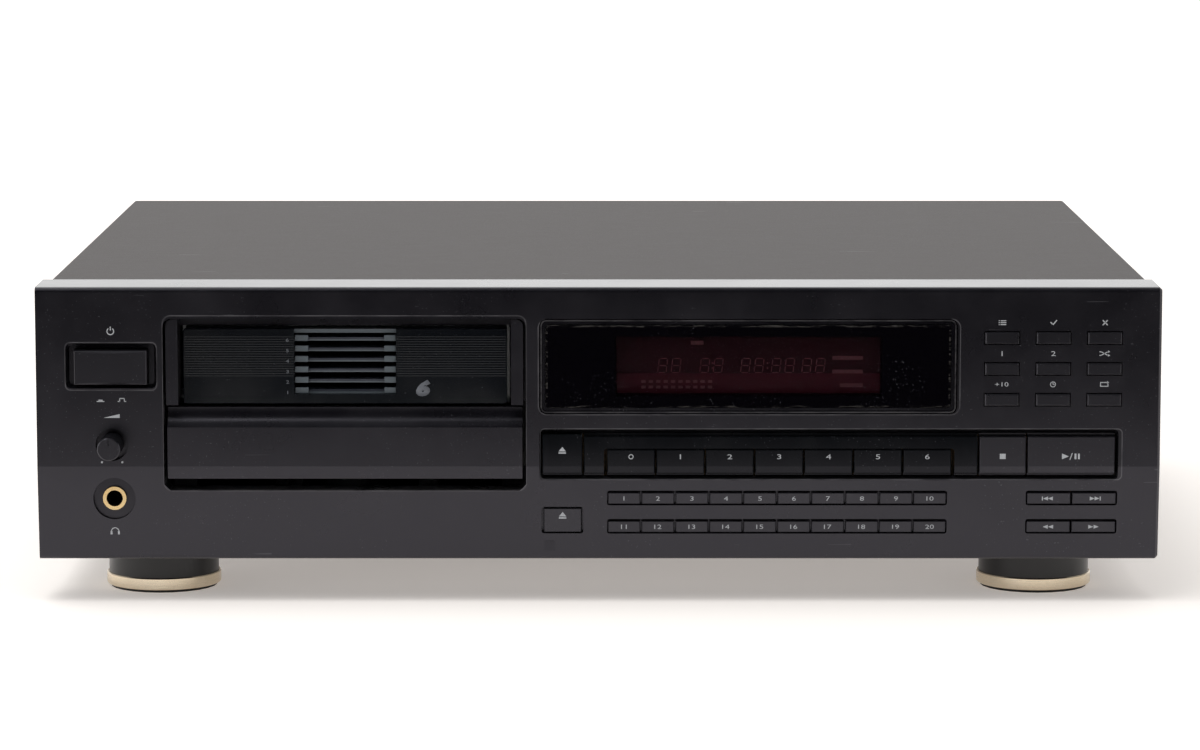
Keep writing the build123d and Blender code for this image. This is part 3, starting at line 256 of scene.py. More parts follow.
# Rounded outlines on the face, each with a painted highlight along it and some with painted recess
# shade inside: x from and to, z from and to, corner radius, painted shade inside.
rimLook = {
    "width": 0.5 * mm,
    # colour: a painted highlight where the raised edges of the openings catch light
    "colour": (0.075, 0.073, 0.078),
    # painted shade inside an outline, as if the face were sunk there
    "recess": (0.0012, 0.0012, 0.0014),
    "bay": (*around("drawer_front", 1.5 * mm, 4.8 * mm, 36.6 * mm), 3.2 * mm, 0.0),
    "power": (*around("power_button", 2.5 * mm, 1.3 * mm, 1.8 * mm), 2.0 * mm, 0.0),
    "display": (-23.6 * mm, 141.3 * mm, 75.0 * mm, 112.6 * mm, 3.4 * mm, 0.35),
    "strip": (-22.9 * mm, 205.0 * mm, 49.2 * mm, 69.4 * mm, 1.8 * mm, 0.9),
}


def cornered(x, z, rectangle, radius):
    # distance from a rectangle with round corners, negative inside it
    x0, x1, z0, z1 = rectangle
    across = (x - (x0 + x1) / 2).size() - ((x1 - x0) / 2 - radius)
    up = (z - (z0 + z1) / 2).size() - ((z1 - z0) / 2 - radius)
    corner = (across.larger(0.0).power(2.0) + up.larger(0.0).power(2.0)).power(0.5)
    return corner + across.larger(up).smaller(0.0) - radius


def rimLine(x, z, rectangle, radius, width):
    # 1 on the outline, 0 away from it
    return 1.0 - cornered(x, z, rectangle, radius).size().ramp(width * 0.25, width * 0.6)


def panelPlastic():
    sheet, colour, rough, normal = mouldedPlastic("panel_plastic", plasticLook)
    scratches = hairScratches(sheet, 16.0, 900.0, 900.0, 0.73)
    colour = sheet.tint(scratches * 0.35, colour, plasticLook["scratch"])
    x, y, z = sheet.axes()
    # noise that breaks up the painted highlight along the outlines
    wearAndHighlight = sheet.noise(90.0, 3.0, 0.6).ramp(0.3, 0.65, 0.35, 1.0)
    for opening in ("bay", "power", "display", "strip"):
        *rectangle, radius, shade = rimLook[opening]
        # painted recess shade inside the outline
        if shade:
            inside = 1.0 - cornered(x, z, rectangle, radius).ramp(-0.0002, 0.0)
            colour = sheet.tint(inside * shade, colour, rimLook["recess"])
        # painted highlight along the outline
        line = rimLine(x, z, rectangle, radius, rimLook["width"]) * wearAndHighlight
        colour = sheet.tint(line, colour, rimLook["colour"])
    topEdge = z.ramp(panelHigh[2] - 0.0007, panelHigh[2] - 0.0001)
    return sheet.surface(colour=colour, roughness=rough, normal=normal, coat=topEdge,
                         coatRoughness=0.18, specular=plasticLook["shine"],
                         specularColour=plasticLook["shineColour"])


keyLook = dict(plasticLook, colour=(0.0072, 0.0070, 0.0088), roughness=(0.27, 0.34))
polishedLook = dict(plasticLook, colour=(0.0040, 0.0046, 0.0056), smudge=(0.0056, 0.0062, 0.0072),
                    roughness=(0.06, 0.10), grainDepth=0.012, shine=0.22)


def keyPlastic():
    look = keyLook
    sheet, colour, rough, normal = mouldedPlastic("key_plastic", look)
    return mouldedSurface(sheet, look, colour, rough, normal)


def polishedKey():
    # the eject key, the plate round the disc keys and the disc keys shine more
    look = polishedLook
    sheet, colour, rough, normal = mouldedPlastic("polished_key", look)
    return mouldedSurface(sheet, look, colour, rough, normal)


plainLook = {
    "spread": 0.05,                 # from the lowest to the highest roughness
    "grain": 900.0,
    "grainDepth": 0.12,
}


def simplePlastic(name, colour, rough):
    sheet = newSheet(name)
    tone = sheet.noise(40.0, 3.0, 0.6)
    paler = tuple(min(1.0, value * 1.35 + 0.002) for value in colour)
    shade = sheet.tint(tone.ramp(0.35, 0.7), colour, paler)
    grain = sheet.noise(plainLook["grain"], 2.0, 0.6)
    normal = sheet.bump(grain, plainLook["grainDepth"], 0.00006)
    highest = rough + plainLook["spread"]
    return sheet.surface(colour=shade, roughness=tone.ramp(0.3, 0.7, rough, highest),
                         normal=normal)


frameLook = {
    "flange": 1.0 * mm,             # the frame's flange lies behind the panel
    "lip": 0.6 * mm,
    "corner": 2.0 * mm,
    # colour: painted highlight on the outer lip
    "colour": (0.052, 0.050, 0.052),
    "roughness": (0.16, 0.24),
}


def displayFrame():
    # the outer lip is painted paler, a painted highlight where its edges catch light
    look = dict(plasticLook, roughness=frameLook["roughness"])
    sheet, colour, rough, normal = mouldedPlastic("display_frame", look)
    x, y, z = sheet.axes()
    low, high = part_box("display_bezel")
    inset = frameLook["flange"] + frameLook["lip"]
    rectangle = (low[0] + inset, high[0] - inset, low[2] + inset, high[2] - inset)
    lip = rimLine(x, z, rectangle, frameLook["corner"], frameLook["lip"])
    # noise that breaks up the painted highlight on the lip
    wearAndHighlight = sheet.noise(1.0, 3.0, 0.6, sheet.stretched(90.0, 90.0, 400.0)).ramp(0.35, 0.6, 0.3, 1.0)
    colour = sheet.tint(lip * wearAndHighlight, colour, frameLook["colour"])
    return mouldedSurface(sheet, look, colour, rough, normal)


coverLook = {
    "colour": (0.024, 0.0205, 0.0195),
    "paler": (0.053, 0.0465, 0.0440),
    "roughness": (0.42, 0.56),
    "shine": 0.26,
    "shineColour": (1.0, 0.85, 0.82),
    "grain": 0.5,
    "scratch": (0.35, 0.35, 0.35),
}


def coverSteel():
    # fine horizontal texture in the paint, dust, and a few pale scratches
    look = coverLook
    sheet = newSheet("cover_steel")
    streaks = sheet.noise(1.0, 4.0, 0.7, sheet.stretched(90.0, 900.0, 900.0))
    speckle = sheet.noise(1500.0, 3.0, 0.7)
    tone = streaks * 0.4 + speckle * 0.6
    colour = sheet.tint(tone.ramp(0.40, 0.60), look["colour"], look["paler"])
    scratches = hairScratches(sheet, 12.0, 420.0, 420.0, 0.76)
    colour = sheet.tint(scratches * 0.7, colour, look["scratch"])
    normal = sheet.bump(tone, look["grain"], 0.00018)
    return sheet.surface(colour=colour, roughness=tone.ramp(0.3, 0.7, *look["roughness"]),
                         normal=normal, specular=look["shine"],
                         specularColour=look["shineColour"])


zincLook = {
    "dark": (0.46, 0.47, 0.48),
    "pale": (0.58, 0.59, 0.60),
    "roughness": (0.30, 0.42),
    "flakes": 190.0,
}


def zincSteel():
    # spangled flakes of zinc
    sheet = newSheet("zinc_steel")
    flakes = sheet.node("TexVoronoi", {"feature": "F1"}, {"Vector": sheet.place(),
                                                              "Scale": zincLook["flakes"]},
                        output=1)
    flakeTone = sheet.node("SeparateColor", {}, {"Color": flakes})
    cloud = sheet.noise(30.0, 3.0, 0.5)
    colour = sheet.tint(flakeTone.ramp(0.0, 1.0), zincLook["dark"], zincLook["pale"])
    rough = cloud.ramp(0.3, 0.7, *zincLook["roughness"])
    return sheet.surface(colour=colour, roughness=rough, metallic=0.9)


blackLook = {
    "paint": ((0.014, 0.014, 0.015), (0.026, 0.026, 0.027)),
    "roughness": (0.42, 0.55),
    "grain": 1500.0,
}


def blackSteel():
    # fine grain in matt black paint
    sheet = newSheet("black_steel")
    grain = sheet.noise(blackLook["grain"], 3.0, 0.7)
    colour = sheet.tint(grain.ramp(0.35, 0.65), *blackLook["paint"])
    normal = sheet.bump(grain, 0.35, 0.00008)
    return sheet.surface(colour=colour, roughness=grain.ramp(0.3, 0.7, *blackLook["roughness"]),
                         normal=normal)


magazineLook = {
    "ribs": 17,
    "ribLow": 0.0894,
    "ribHigh": 0.1058,
    "ribDepth": 0.25,
    "colour": (0.0045, 0.0058, 0.0078),
    "ribColour": (0.011, 0.013, 0.017),
    "roughness": (0.14, 0.24),
    "slots": 6,
    "slotPitch": 4.14 * mm,
    "trayBase": 25.89 * mm,         # underside of the lowest tray, below the magazine's top
    "line": 0.5 * mm,               # pale line along each tray's front edge
    "roof": 3.2 * mm,               # height of the pale band over the trays
    "tabsFront": -167.1 * mm,       # the tabs lie in front of here
    "edgesFront": -166.5 * mm,      # and the trays' front edges in front of here
}
trayLook = {
    # dark and pale: the trays' own dark plastic, lifted and tinted blue-grey as a painted
    # reflection
    "dark": (0.030, 0.036, 0.050),
    "pale": (0.042, 0.049, 0.066),
    "line": (0.105, 0.125, 0.140),
    "roof": (0.120, 0.115, 0.105),
    "tabs": (0.090, 0.110, 0.125),
    "roughness": (0.32, 0.42),
}


def smokedFront():
    # smoked gloss with a block of fine horizontal ribs
    look = magazineLook
    sheet = newSheet("smoked_front")
    z = sheet.axes()[2]
    cloud = sheet.noise(22.0, 3.0, 0.6)
    pitch = (look["ribHigh"] - look["ribLow"]) / look["ribs"]
    wave = ((z - look["ribLow"]) * (2 * math.pi / pitch)).sine()
    ribs = wave.ramp(0.55, 1.0) * z.within(look["ribLow"], look["ribHigh"], 0.0002)
    colour = sheet.tint(ribs * 0.45, look["colour"], look["ribColour"])
    specks = dustSpecks(sheet, 1300.0, 0.74)
    colour = sheet.tint(specks * 0.5, colour, plasticLook["dust"])
    normal = sheet.bump(ribs, look["ribDepth"], 0.0001)
    return sheet.surface(colour=colour, roughness=cloud.ramp(0.35, 0.7, *look["roughness"]),
                         normal=normal)


displayLook = {
    "x": (0.0068, 0.1104),          # clear part of the pane
    "z": (0.0825, 0.1056),
    "clear": 0.80,                  # how much of the tube shows through
    "colour": (0.0016, 0.0013, 0.0022),
    "flange": 0.0015,               # the pane's flange lies behind the frame
    "dustBand": 0.0008,
    "dust": (0.070, 0.066, 0.062),
    "softX": 1.2 * mm,              # fade at the edges of the clear part
    "softZ": 1.0 * mm,
    "softDust": 0.2 * mm,
    "roughness": (0.03, 0.06),
}


def displayPane():
    # polished acrylic, printed black except in front of the tube
    look = displayLook
    sheet = newSheet("display_pane")
    x, y, z = sheet.axes()
    window = x.within(*look["x"], look["softX"]) * z.within(*look["z"], look["softZ"])
    specks = dustSpecks(sheet, 1600.0, 0.74)
    colour = sheet.tint(specks * 0.4, look["colour"], plasticLook["dust"])
    low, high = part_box("display_window")
    side = look["flange"] + look["dustBand"]
    soft = look["softDust"]
    middle = (x.within(low[0] + side, high[0] - side, soft)
              * z.within(low[2] + side, high[2] - side, soft))
    crumbs = sheet.noise(1.0, 4.0, 0.7, sheet.stretched(140.0, 900.0, 900.0)).ramp(0.48, 0.66)
    colour = sheet.tint((1.0 - middle) * crumbs * 0.7, colour, look["dust"])
    rough = sheet.noise(18.0, 3.0, 0.6).ramp(0.4, 0.7, *look["roughness"])
    return sheet.surface(colour=colour, roughness=rough, alpha=1.0 - window * look["clear"])


tubeLook = {
    "dark": (0.0235, 0.0036, 0.0072),
    "pale": (0.0265, 0.0042, 0.0082),
    "band": (0.062, 0.0070, 0.0150),
    "bandZ": (83.0 * mm, 90.5 * mm),
    "segments": ((0.075, 0.012, 0.021), (0.110, 0.020, 0.032)),
}


def tubeGlass():
    # dim red tube with a slightly brighter band at the bottom
    sheet = newSheet("tube_glass")
    z = sheet.axes()[2]
    mesh = sheet.noise(1.0, 2.0, 0.5, sheet.stretched(700.0, 60.0, 700.0))
    band = z.within(*tubeLook["bandZ"], 1.0 * mm)
    colour = sheet.tint(mesh.ramp(0.3, 0.7), tubeLook["dark"], tubeLook["pale"])
    colour = sheet.tint(band * 0.6, colour, tubeLook["band"])
    return sheet.surface(colour=colour, roughness=0.2)


def magazinePlastic():
    # dark trays with paler tabs and front edges where they show in the window
    sheet = newSheet("magazine_plastic")
    x, y, z = sheet.axes()
    look = magazineLook
    tabs = y < look["tabsFront"]
    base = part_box("magazine_front")[1][2] - look["trayBase"]
    phase = ((z - base) / look["slotPitch"]).math("FRACT")
    edges = y < look["edgesFront"]
    line = (phase < look["line"] / look["slotPitch"]) * edges
    roof = (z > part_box("magazine_front")[1][2] - look["roof"]) * edges
    tone = sheet.noise(60.0, 3.0, 0.6)
    # the trays' own dark colour, lifted by a painted reflection
    colour = sheet.tint(tone.ramp(0.3, 0.7), trayLook["dark"], trayLook["pale"])
    colour = sheet.tint(line, colour, trayLook["line"])
    colour = sheet.tint(roof, colour, trayLook["roof"])
    colour = sheet.tint(tabs, colour, trayLook["tabs"])
    return sheet.surface(colour=colour, roughness=tone.ramp(0.3, 0.7, *trayLook["roughness"]))


goldLook = {
    "ring": ((0.78, 0.66, 0.49), (0.86, 0.75, 0.58)),
    "ringRoughness": (0.20, 0.28),
    "plate": ((0.70, 0.50, 0.24), (0.80, 0.62, 0.34)),
    "plateRoughness": (0.16, 0.26),
}


def goldRing():
    # champagne plating, turned finish round the ring
    sheet = newSheet("ring_gold")
    lines = sheet.noise(1.0, 2.0, 0.5, sheet.stretched(4.0, 4.0, 5200.0))
    wear = sheet.noise(60.0, 3.0, 0.6)
    colour = sheet.tint(wear.ramp(0.3, 0.7), *goldLook["ring"])
    normal = sheet.bump(lines, 0.20, 0.00003)
    rough = lines.ramp(0.3, 0.7, *goldLook["ringRoughness"])
    return sheet.surface(colour=colour, roughness=rough, metallic=1.0, normal=normal)


def goldPlate():
    sheet = newSheet("jack_gold")
    wear = sheet.noise(300.0, 3.0, 0.6)
    colour = sheet.tint(wear.ramp(0.3, 0.7), *goldLook["plate"])
    rough = wear.ramp(0.3, 0.7, *goldLook["plateRoughness"])
    return sheet.surface(colour=colour, roughness=rough, metallic=1.0)


boardLook = {
    "thickness": 1.6 * mm,
    "skin": 0.05 * mm,              # parts start this far above the board
    "tall": 19.5 * mm,              # what rises higher is grey, as capacitor tops are
    "tracks": 130.0,
    "mask": ((0.020, 0.090, 0.040), (0.034, 0.150, 0.070)),
    "parts": ((0.012, 0.012, 0.014), (0.32, 0.33, 0.34)),
}


def boardGreen():
    # solder mask below, black and grey parts above it
    look = boardLook
    sheet = newSheet("board_green")
    z = sheet.axes()[2]
    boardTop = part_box("main_board")[0][2] + look["thickness"]
    tracks = sheet.node("TexVoronoi", {"feature": "DISTANCE_TO_EDGE", "distance": "EUCLIDEAN"},
                        {"Vector": sheet.place(), "Scale": look["tracks"]})
    mask = sheet.tint(tracks.ramp(0.02, 0.08), *look["mask"])
    above = z > boardTop + look["skin"]
    tall = z > boardTop + look["tall"]
    parts = sheet.tint(tall, *look["parts"])
    colour = sheet.tint(above, mask, parts)
    return sheet.surface(colour=colour, roughness=tracks.ramp(0.0, 0.2, 0.35, 0.45))


phenolicLook = {
    "board": ((0.20, 0.115, 0.045), (0.30, 0.18, 0.075)),
    "parts": (0.020, 0.020, 0.022),
    "front": 13.99 * mm,            # the boards' front, behind the panel's face
}


def boardBrown():
    # phenolic board, black parts in front of it
    look = phenolicLook
    sheet = newSheet("board_brown")
    y = sheet.axes()[1]
    fibre = sheet.noise(1.0, 3.0, 0.6, sheet.stretched(220.0, 220.0, 1500.0))
    colour = sheet.tint(fibre.ramp(0.3, 0.7), *look["board"])
    ahead = y < panelLow[1] + look["front"]
    colour = sheet.tint(ahead, colour, look["parts"])
    return sheet.surface(colour=colour, roughness=fibre.ramp(0.3, 0.7, 0.45, 0.6))


phonoLook = {
    "z": 53.2 * mm,
    "radius": 3.3 * mm,
    "depth": 0.3 * mm,
    "rings": ((51.0 * mm, (0.42, 0.020, 0.018)), (65.0 * mm, (0.66, 0.65, 0.62))),
}


def socketPlastic():
    # black, with a red and a white liner in the mouths of the two sockets
    sheet = newSheet("socket_plastic")
    x, y, z = sheet.axes()
    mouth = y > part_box("output_sockets")[1][1] - phonoLook["depth"]
    tone = sheet.noise(40.0, 3.0, 0.6)
    colour = sheet.tint(tone.ramp(0.35, 0.7), (0.010, 0.010, 0.011), (0.015, 0.015, 0.017))
    up = z - phonoLook["z"]
    for place, liner in phonoLook["rings"]:
        across = x - place
        near = (across * across + up * up) < phonoLook["radius"] ** 2
        colour = sheet.tint(near * mouth, colour, liner)
    return sheet.surface(colour=colour, roughness=tone.ramp(0.3, 0.7, 0.36, 0.43))


coreLook = {
    "sheet": 0.7 * mm,              # pitch of the laminations
    "stackHalf": 12.1 * mm,         # beyond it, front and back, lies the coil
    "sheets": ((0.040, 0.036, 0.032), (0.150, 0.140, 0.130)),
    "coil": (0.42, 0.30, 0.07),
}


def coreIron():
    # varnished laminations, with the wound coil in front of and behind them
    look = coreLook
    sheet = newSheet("core_iron")
    y = sheet.axes()[1]
    sheets = (y * (2 * math.pi / look["sheet"])).sine()
    colour = sheet.tint(sheets.ramp(-0.2, 0.8), *look["sheets"])
    low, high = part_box("transformer")
    middle = (low[1] + high[1]) / 2
    coil = (y - middle).size() > look["stackHalf"]
    colour = sheet.tint(coil, colour, look["coil"])
    normal = sheet.bump(sheets, 0.4, 0.0001)
    return sheet.surface(colour=colour, roughness=0.45, metallic=0.15, normal=normal)


screwLook = {
    "oxide": (0.030, 0.030, 0.032),
    "wearAndHighlight": (0.16, 0.16, 0.165),
    "roughness": (0.28, 0.4),
}


def screwBlack():
    sheet = newSheet("screw_black")
    wear = sheet.noise(700.0, 3.0, 0.6)
    colour = sheet.tint(wear.ramp(0.4, 0.75), screwLook["oxide"], screwLook["wearAndHighlight"])
    rough = wear.ramp(0.3, 0.7, *screwLook["roughness"])
    return sheet.surface(colour=colour, roughness=rough, metallic=0.8)


inkLook = {
    "print_ink": ((0.30, 0.31, 0.33), (0.42, 0.435, 0.46)),
    "dim_ink": ((0.085, 0.090, 0.105), (0.130, 0.140, 0.160)),
}


def printInk(name):
    sheet = newSheet(name)
    cover = sheet.noise(2600.0, 2.0, 0.6)
    colour = sheet.tint(cover.ramp(0.25, 0.5), *inkLook[name])
    return sheet.surface(colour=colour, roughness=0.5)


def faintSegment():
    sheet = newSheet("segment_paint")
    tone = sheet.noise(900.0, 2.0, 0.6)
    colour = sheet.tint(tone.ramp(0.3, 0.7), *tubeLook["segments"])
    return sheet.surface(colour=colour, roughness=0.5)


finishes = {
    "panel_plastic": panelPlastic(),
    "key_plastic": keyPlastic(),
    "cover_steel": coverSteel(),
    "smoked_front": smokedFront(),
    "display_pane": displayPane(),
    "tube_glass": tubeGlass(),
    "magazine_plastic": magazinePlastic(),
    "zinc_steel": zincSteel(),
    "black_steel": blackSteel(),
    "board_green": boardGreen(),
    "board_brown": boardBrown(),
    "jack_gold": goldPlate(),
    "ring_gold": goldRing(),
    "screw_black": screwBlack(),
    "core_iron": coreIron(),
}
# Colour and lowest roughness of the plain mouldings.
plainPlastics = {
    "tray_plastic": ((0.010, 0.010, 0.011), 0.30),
    "loader_plastic": ((0.030, 0.030, 0.033), 0.42),
    "jack_black": ((0.010, 0.010, 0.011), 0.38),
    "foot_plastic": ((0.0075, 0.0072, 0.0080), 0.30),
    "foot_rubber": ((0.012, 0.012, 0.012), 0.75),
    "gear_white": ((0.66, 0.64, 0.58), 0.35),
}
for slotName, (colour, rough) in plainPlastics.items():
    finishes[slotName] = simplePlastic(slotName, colour, rough)
# Nodes whose finish isn't their slot's.
ownFinish = {"display_bezel": displayFrame(), "output_sockets": socketPlastic()}
glossyKey = polishedKey()
for name in ["eject_button", "control_bezel", "single_play_key"]:
    ownFinish[name] = glossyKey
for number in range(1, 7):
    ownFinish[f"disc_{number}_key"] = glossyKey
for name, node in nodes.items():
    finish = ownFinish.get(name) or finishes[slotOf[name]]
    if node.material_slots:
        for place in node.material_slots:
            place.material = finish
    else:
        node.data.materials.append(finish)
ink = printInk("print_ink")
dimInk = printInk("dim_ink")
print("finishes:", len(finishes))


# Building helpers

def addPiece(name, bm, material, body, smooth=None):
    mesh = bpy.data.meshes.new(name)
    bmesh.ops.remove_doubles(bm, verts=bm.verts, dist=1e-7)
    bmesh.ops.recalc_face_normals(bm, faces=bm.faces)
    bm.to_mesh(mesh)
    bm.free()
    mesh.materials.append(material)
    if smooth:
        mesh.shade_smooth()
        mesh.set_sharp_from_angle(angle=math.radians(smooth))
    piece = bpy.data.objects.new(name, mesh)
    bpy.context.scene.collection.objects.link(piece)
    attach(piece, body)
    return piece


ink3d = {
    "thickness": 0.05 * mm,        # depth of a print or symbol
    "proud": 0.03 * mm,            # how far it stands in front of its surface
}


# Shapes are drawn flat, x to the right and y up, in millimetres, then stood on the face.
def stand(bm, x, z, inset=0.0, tilt=None):
    tilt = faceTilt(z) if tilt is None else tilt
    depth = faceDepth(z, inset) - ink3d["proud"]
    upright = Matrix.Rotation(math.radians(90) - tilt, 4, "X")
    move = Matrix.Translation((x, depth, z))
    bmesh.ops.transform(bm, matrix=move @ upright @ Matrix.Scale(mm, 4), verts=bm.verts)


def thicken(bm):
    depth = ink3d["thickness"] / mm
    made = bmesh.ops.extrude_face_region(bm, geom=bm.faces[:])
    moved = [item for item in made["geom"] if isinstance(item, bmesh.types.BMVert)]
    bmesh.ops.translate(bm, verts=moved, vec=(0, 0, -depth))
    bmesh.ops.recalc_face_normals(bm, faces=bm.faces)


def polygon(bm, points):
    verts = [bm.verts.new((x, y, 0)) for x, y in points]
    bm.faces.new(verts)


def bar(bm, x, y, width, height, turn=0.0, skew=0.0):
    corners = [(-width / 2, -height / 2), (width / 2, -height / 2),
               (width / 2, height / 2), (-width / 2, height / 2)]
    cosine, sine = math.cos(turn), math.sin(turn)
    points = []
    for a, b in corners:
        a += skew * b
        points.append((x + a * cosine - b * sine, y + a * sine + b * cosine))
    polygon(bm, points)


def arrow(bm, x, y, width, height, facing=1):
    polygon(bm, [(x - facing * width / 2, y - height / 2), (x + facing * width / 2, y),
                 (x - facing * width / 2, y + height / 2)][::facing])


def ring(bm, x, y, outer, inner, start=0.0, sweep=360.0, steps=20):
    full = sweep >= 360.0
    rim = []
    for step in range(steps + (0 if full else 1)):
        turn = math.radians(start + sweep * step / steps)
        rim.append([bm.verts.new((x + r * math.cos(turn), y + r * math.sin(turn), 0))
                    for r in (outer, inner)])
    count = len(rim)
    for index in range(count if full else count - 1):
        a, b = rim[index], rim[(index + 1) % count]
        bm.faces.new((a[0], b[0], b[1], a[1]))


def lettering(text, height, wide=1.25, slant=0.0, bold=0.0):
    # digits from the built-in font, as a flat mesh centred on its own box
    curve = bpy.data.curves.new("digits", "FONT")
    curve.body = text
    curve.align_x = "CENTER"
    curve.resolution_u = 3
    curve.offset = bold
    curve.shear = slant
    holder = bpy.data.objects.new("digits", curve)
    bpy.context.scene.collection.objects.link(holder)
    bpy.context.view_layer.update()
    depsgraph = bpy.context.evaluated_depsgraph_get()
    mesh = bpy.data.meshes.new_from_object(holder.evaluated_get(depsgraph))
    bm = bmesh.new()
    bm.from_mesh(mesh)
    bpy.data.objects.remove(holder)
    bpy.data.curves.remove(curve)
    bpy.data.meshes.remove(mesh)
    bmesh.ops.remove_doubles(bm, verts=bm.verts, dist=1e-5)
    xs = [v.co.x for v in bm.verts]
    ys = [v.co.y for v in bm.verts]
    middle = Vector(((min(xs) + max(xs)) / 2, (min(ys) + max(ys)) / 2, 0))
    scale = height / (max(ys) - min(ys))
    bmesh.ops.translate(bm, verts=bm.verts, vec=-middle)
    bmesh.ops.scale(bm, verts=bm.verts, vec=(scale * wide, scale, 1))
    return bm


def merge(target, source):
    # moves the faces of source into target
    mesh = bpy.data.meshes.new("part")
    source.to_mesh(mesh)
    source.free()
    target.from_mesh(mesh)
    bpy.data.meshes.remove(mesh)


def symbol(name, draw, x, z, body, inset=0.0, material=None):
    bm = bmesh.new()
    draw(bm)
    thicken(bm)
    stand(bm, x, z, inset)
    return addPiece(name, bm, material or ink, body)


# Symbols on the keys

def capCentre(node, rise=0.0):
    low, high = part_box(node)
    return (low[0] + high[0]) / 2, (low[2] + high[2]) / 2 + rise


def ejectSign(bm):
    polygon(bm, [(-1.45, -0.35), (1.45, -0.35), (0, 1.45)])
    bar(bm, 0, -0.95, 2.9, 0.55)


def stopSign(bm):
    bar(bm, 0, 0, 2.3, 2.1)


def playPauseSign(bm):
    arrow(bm, -2.35, 0, 2.7, 2.3)
    bar(bm, -0.1, 0, 0.35, 2.7, skew=0.35)
    bar(bm, 1.6, 0, 0.75, 2.2)
    bar(bm, 2.95, 0, 0.75, 2.2)


def skipSign(facing):
    def draw(bm):
        for place in (-0.75, 1.15):
            arrow(bm, facing * place, 0, 1.9, 1.6, facing)
        bar(bm, facing * 2.4, 0, 0.4, 1.6)
    return draw


def searchSign(facing):
    def draw(bm):
        for place in (-1.05, 1.05):
            arrow(bm, facing * place, 0, 2.0, 1.6, facing)
    return draw


signKeys = {
    "eject_button": (ejectSign, 1.4),
    "open_close_button": (ejectSign, 1.6),
    "stop_button": (stopSign, -0.9),
    "play_pause_button": (playPauseSign, -0.9),
    "skip_back_key": (skipSign(-1), -0.42),
    "skip_forward_key": (skipSign(1), -0.42),
    "search_back_key": (searchSign(-1), -0.42),
    "search_forward_key": (searchSign(1), -0.42),
}
for node, (draw, rise) in signKeys.items():
    x, z = capCentre(node, rise * mm)
    symbol(node + "_sign", draw, x, z, node + "_body", face["keyInset"])

discKeySign = {"height": 1.9, "rise": 2.0, "ring": 1.0}


def discSign(digit):
    def draw(bm):
        if digit is None:
            ring(bm, 0, 0, discKeySign["ring"], discKeySign["ring"] - 0.32)
        else:
            merge(bm, lettering(str(digit), discKeySign["height"], 1.6))
    return draw


for index in range(7):
    node = "single_play_key" if index == 0 else f"disc_{index}_key"
    x, z = capCentre(node, discKeySign["rise"] * mm)
    symbol(node + "_sign", discSign(index or None), x, z, node + "_body", face["keyInset"])

numberRow = {"keys": 10, "height": 1.75, "drop": 0.25 * mm}


def numberRowPrint(node, first):
    low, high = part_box(node)
    size = numberRow
    start = low[0] + face["flange"]
    pitch = (high[0] - face["flange"] - start) / size["keys"]
    z = (low[2] + high[2]) / 2 - size["drop"]
    rowPrint = bmesh.new()
    for index in range(size["keys"]):
        number = lettering(str(first + index), size["height"], 1.45)
        thicken(number)
        stand(number, start + (index + 0.5) * pitch, z, face["keyInset"])
        merge(rowPrint, number)
    addPiece(node + "_numbers", rowPrint, ink, node + "_body")


numberRowPrint("number_keys_1_to_10", 1)
numberRowPrint("number_keys_11_to_20", 11)
print("key symbols done")


# Symbols on the panel

def programSign(bm):
    for row in (-1, 0, 1):
        bar(bm, -1.25, row * 0.75, 0.4, 0.35)
        bar(bm, 0.4, row * 0.75, 2.2, 0.35)


def checkSign(bm):
    bar(bm, -0.8, -0.25, 1.3, 0.4, -math.radians(45))
    bar(bm, 0.45, 0.1, 2.4, 0.4, math.radians(50))


def clearSign(bm):
    bar(bm, 0, 0, 2.7, 0.42, math.radians(45))
    bar(bm, 0, 0, 2.7, 0.42, -math.radians(45))


def digitSign(text, height=1.9):
    def draw(bm):
        merge(bm, lettering(text, height, 1.45))
    return draw


def randomSign(bm):
    for sign in (-1, 1):
        bar(bm, -0.1, 0, 2.7, 0.35, sign * math.radians(28))
        arrow(bm, 1.7, sign * 0.75, 0.8, 1.0)
        bar(bm, -1.7, -sign * 0.7, 0.7, 0.35)


def timeSign(bm):
    ring(bm, 0, 0, 1.15, 0.85)
    bar(bm, 0, 0.35, 0.28, 0.75)
    bar(bm, 0.28, 0, 0.65, 0.28)


def repeatSign(bm):
    bar(bm, 0, 0.75, 2.6, 0.35)
    bar(bm, 0, -0.75, 2.6, 0.35)
    bar(bm, -1.45, 0, 0.35, 1.85)
    bar(bm, 1.45, -0.35, 0.35, 1.15)
    arrow(bm, 1.5, 0.75, 0.9, 1.1)


functionSign = {"rise": 3.75 * mm}
functionSigns = {
    "program_key": programSign, "check_key": checkSign, "clear_key": clearSign,
    "edit_1_key": digitSign("1"), "edit_2_key": digitSign("2"), "random_key": randomSign,
    "plus_10_key": digitSign("+10", 1.7), "time_key": timeSign, "repeat_key": repeatSign,
}
for node, draw in functionSigns.items():
    low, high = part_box(node)
    x = (low[0] + high[0]) / 2
    z = high[2] - face["flange"] + functionSign["rise"]
    symbol(node + "_label", draw, x, z, "root")


def powerSign(bm):
    ring(bm, 0, 0, 1.5, 1.12, 125, 290)
    bar(bm, 0, 1.1, 0.4, 1.5)


def pushedSign(bm):
    # the button in, then the button out
    bar(bm, -4.2, -0.55, 3.0, 0.35)
    bar(bm, -4.2, -0.15, 1.6, 0.6)
    bar(bm, 3.0, -0.55, 0.9, 0.35)
    bar(bm, 5.4, -0.55, 0.9, 0.35)
    bar(bm, 3.3, 0.05, 0.35, 1.5)
    bar(bm, 5.1, 0.05, 0.35, 1.5)
    bar(bm, 4.2, 0.65, 2.1, 0.35)


def levelSign(bm):
    polygon(bm, [(-3.2, -0.75), (3.2, -0.75), (3.2, 0.75)])


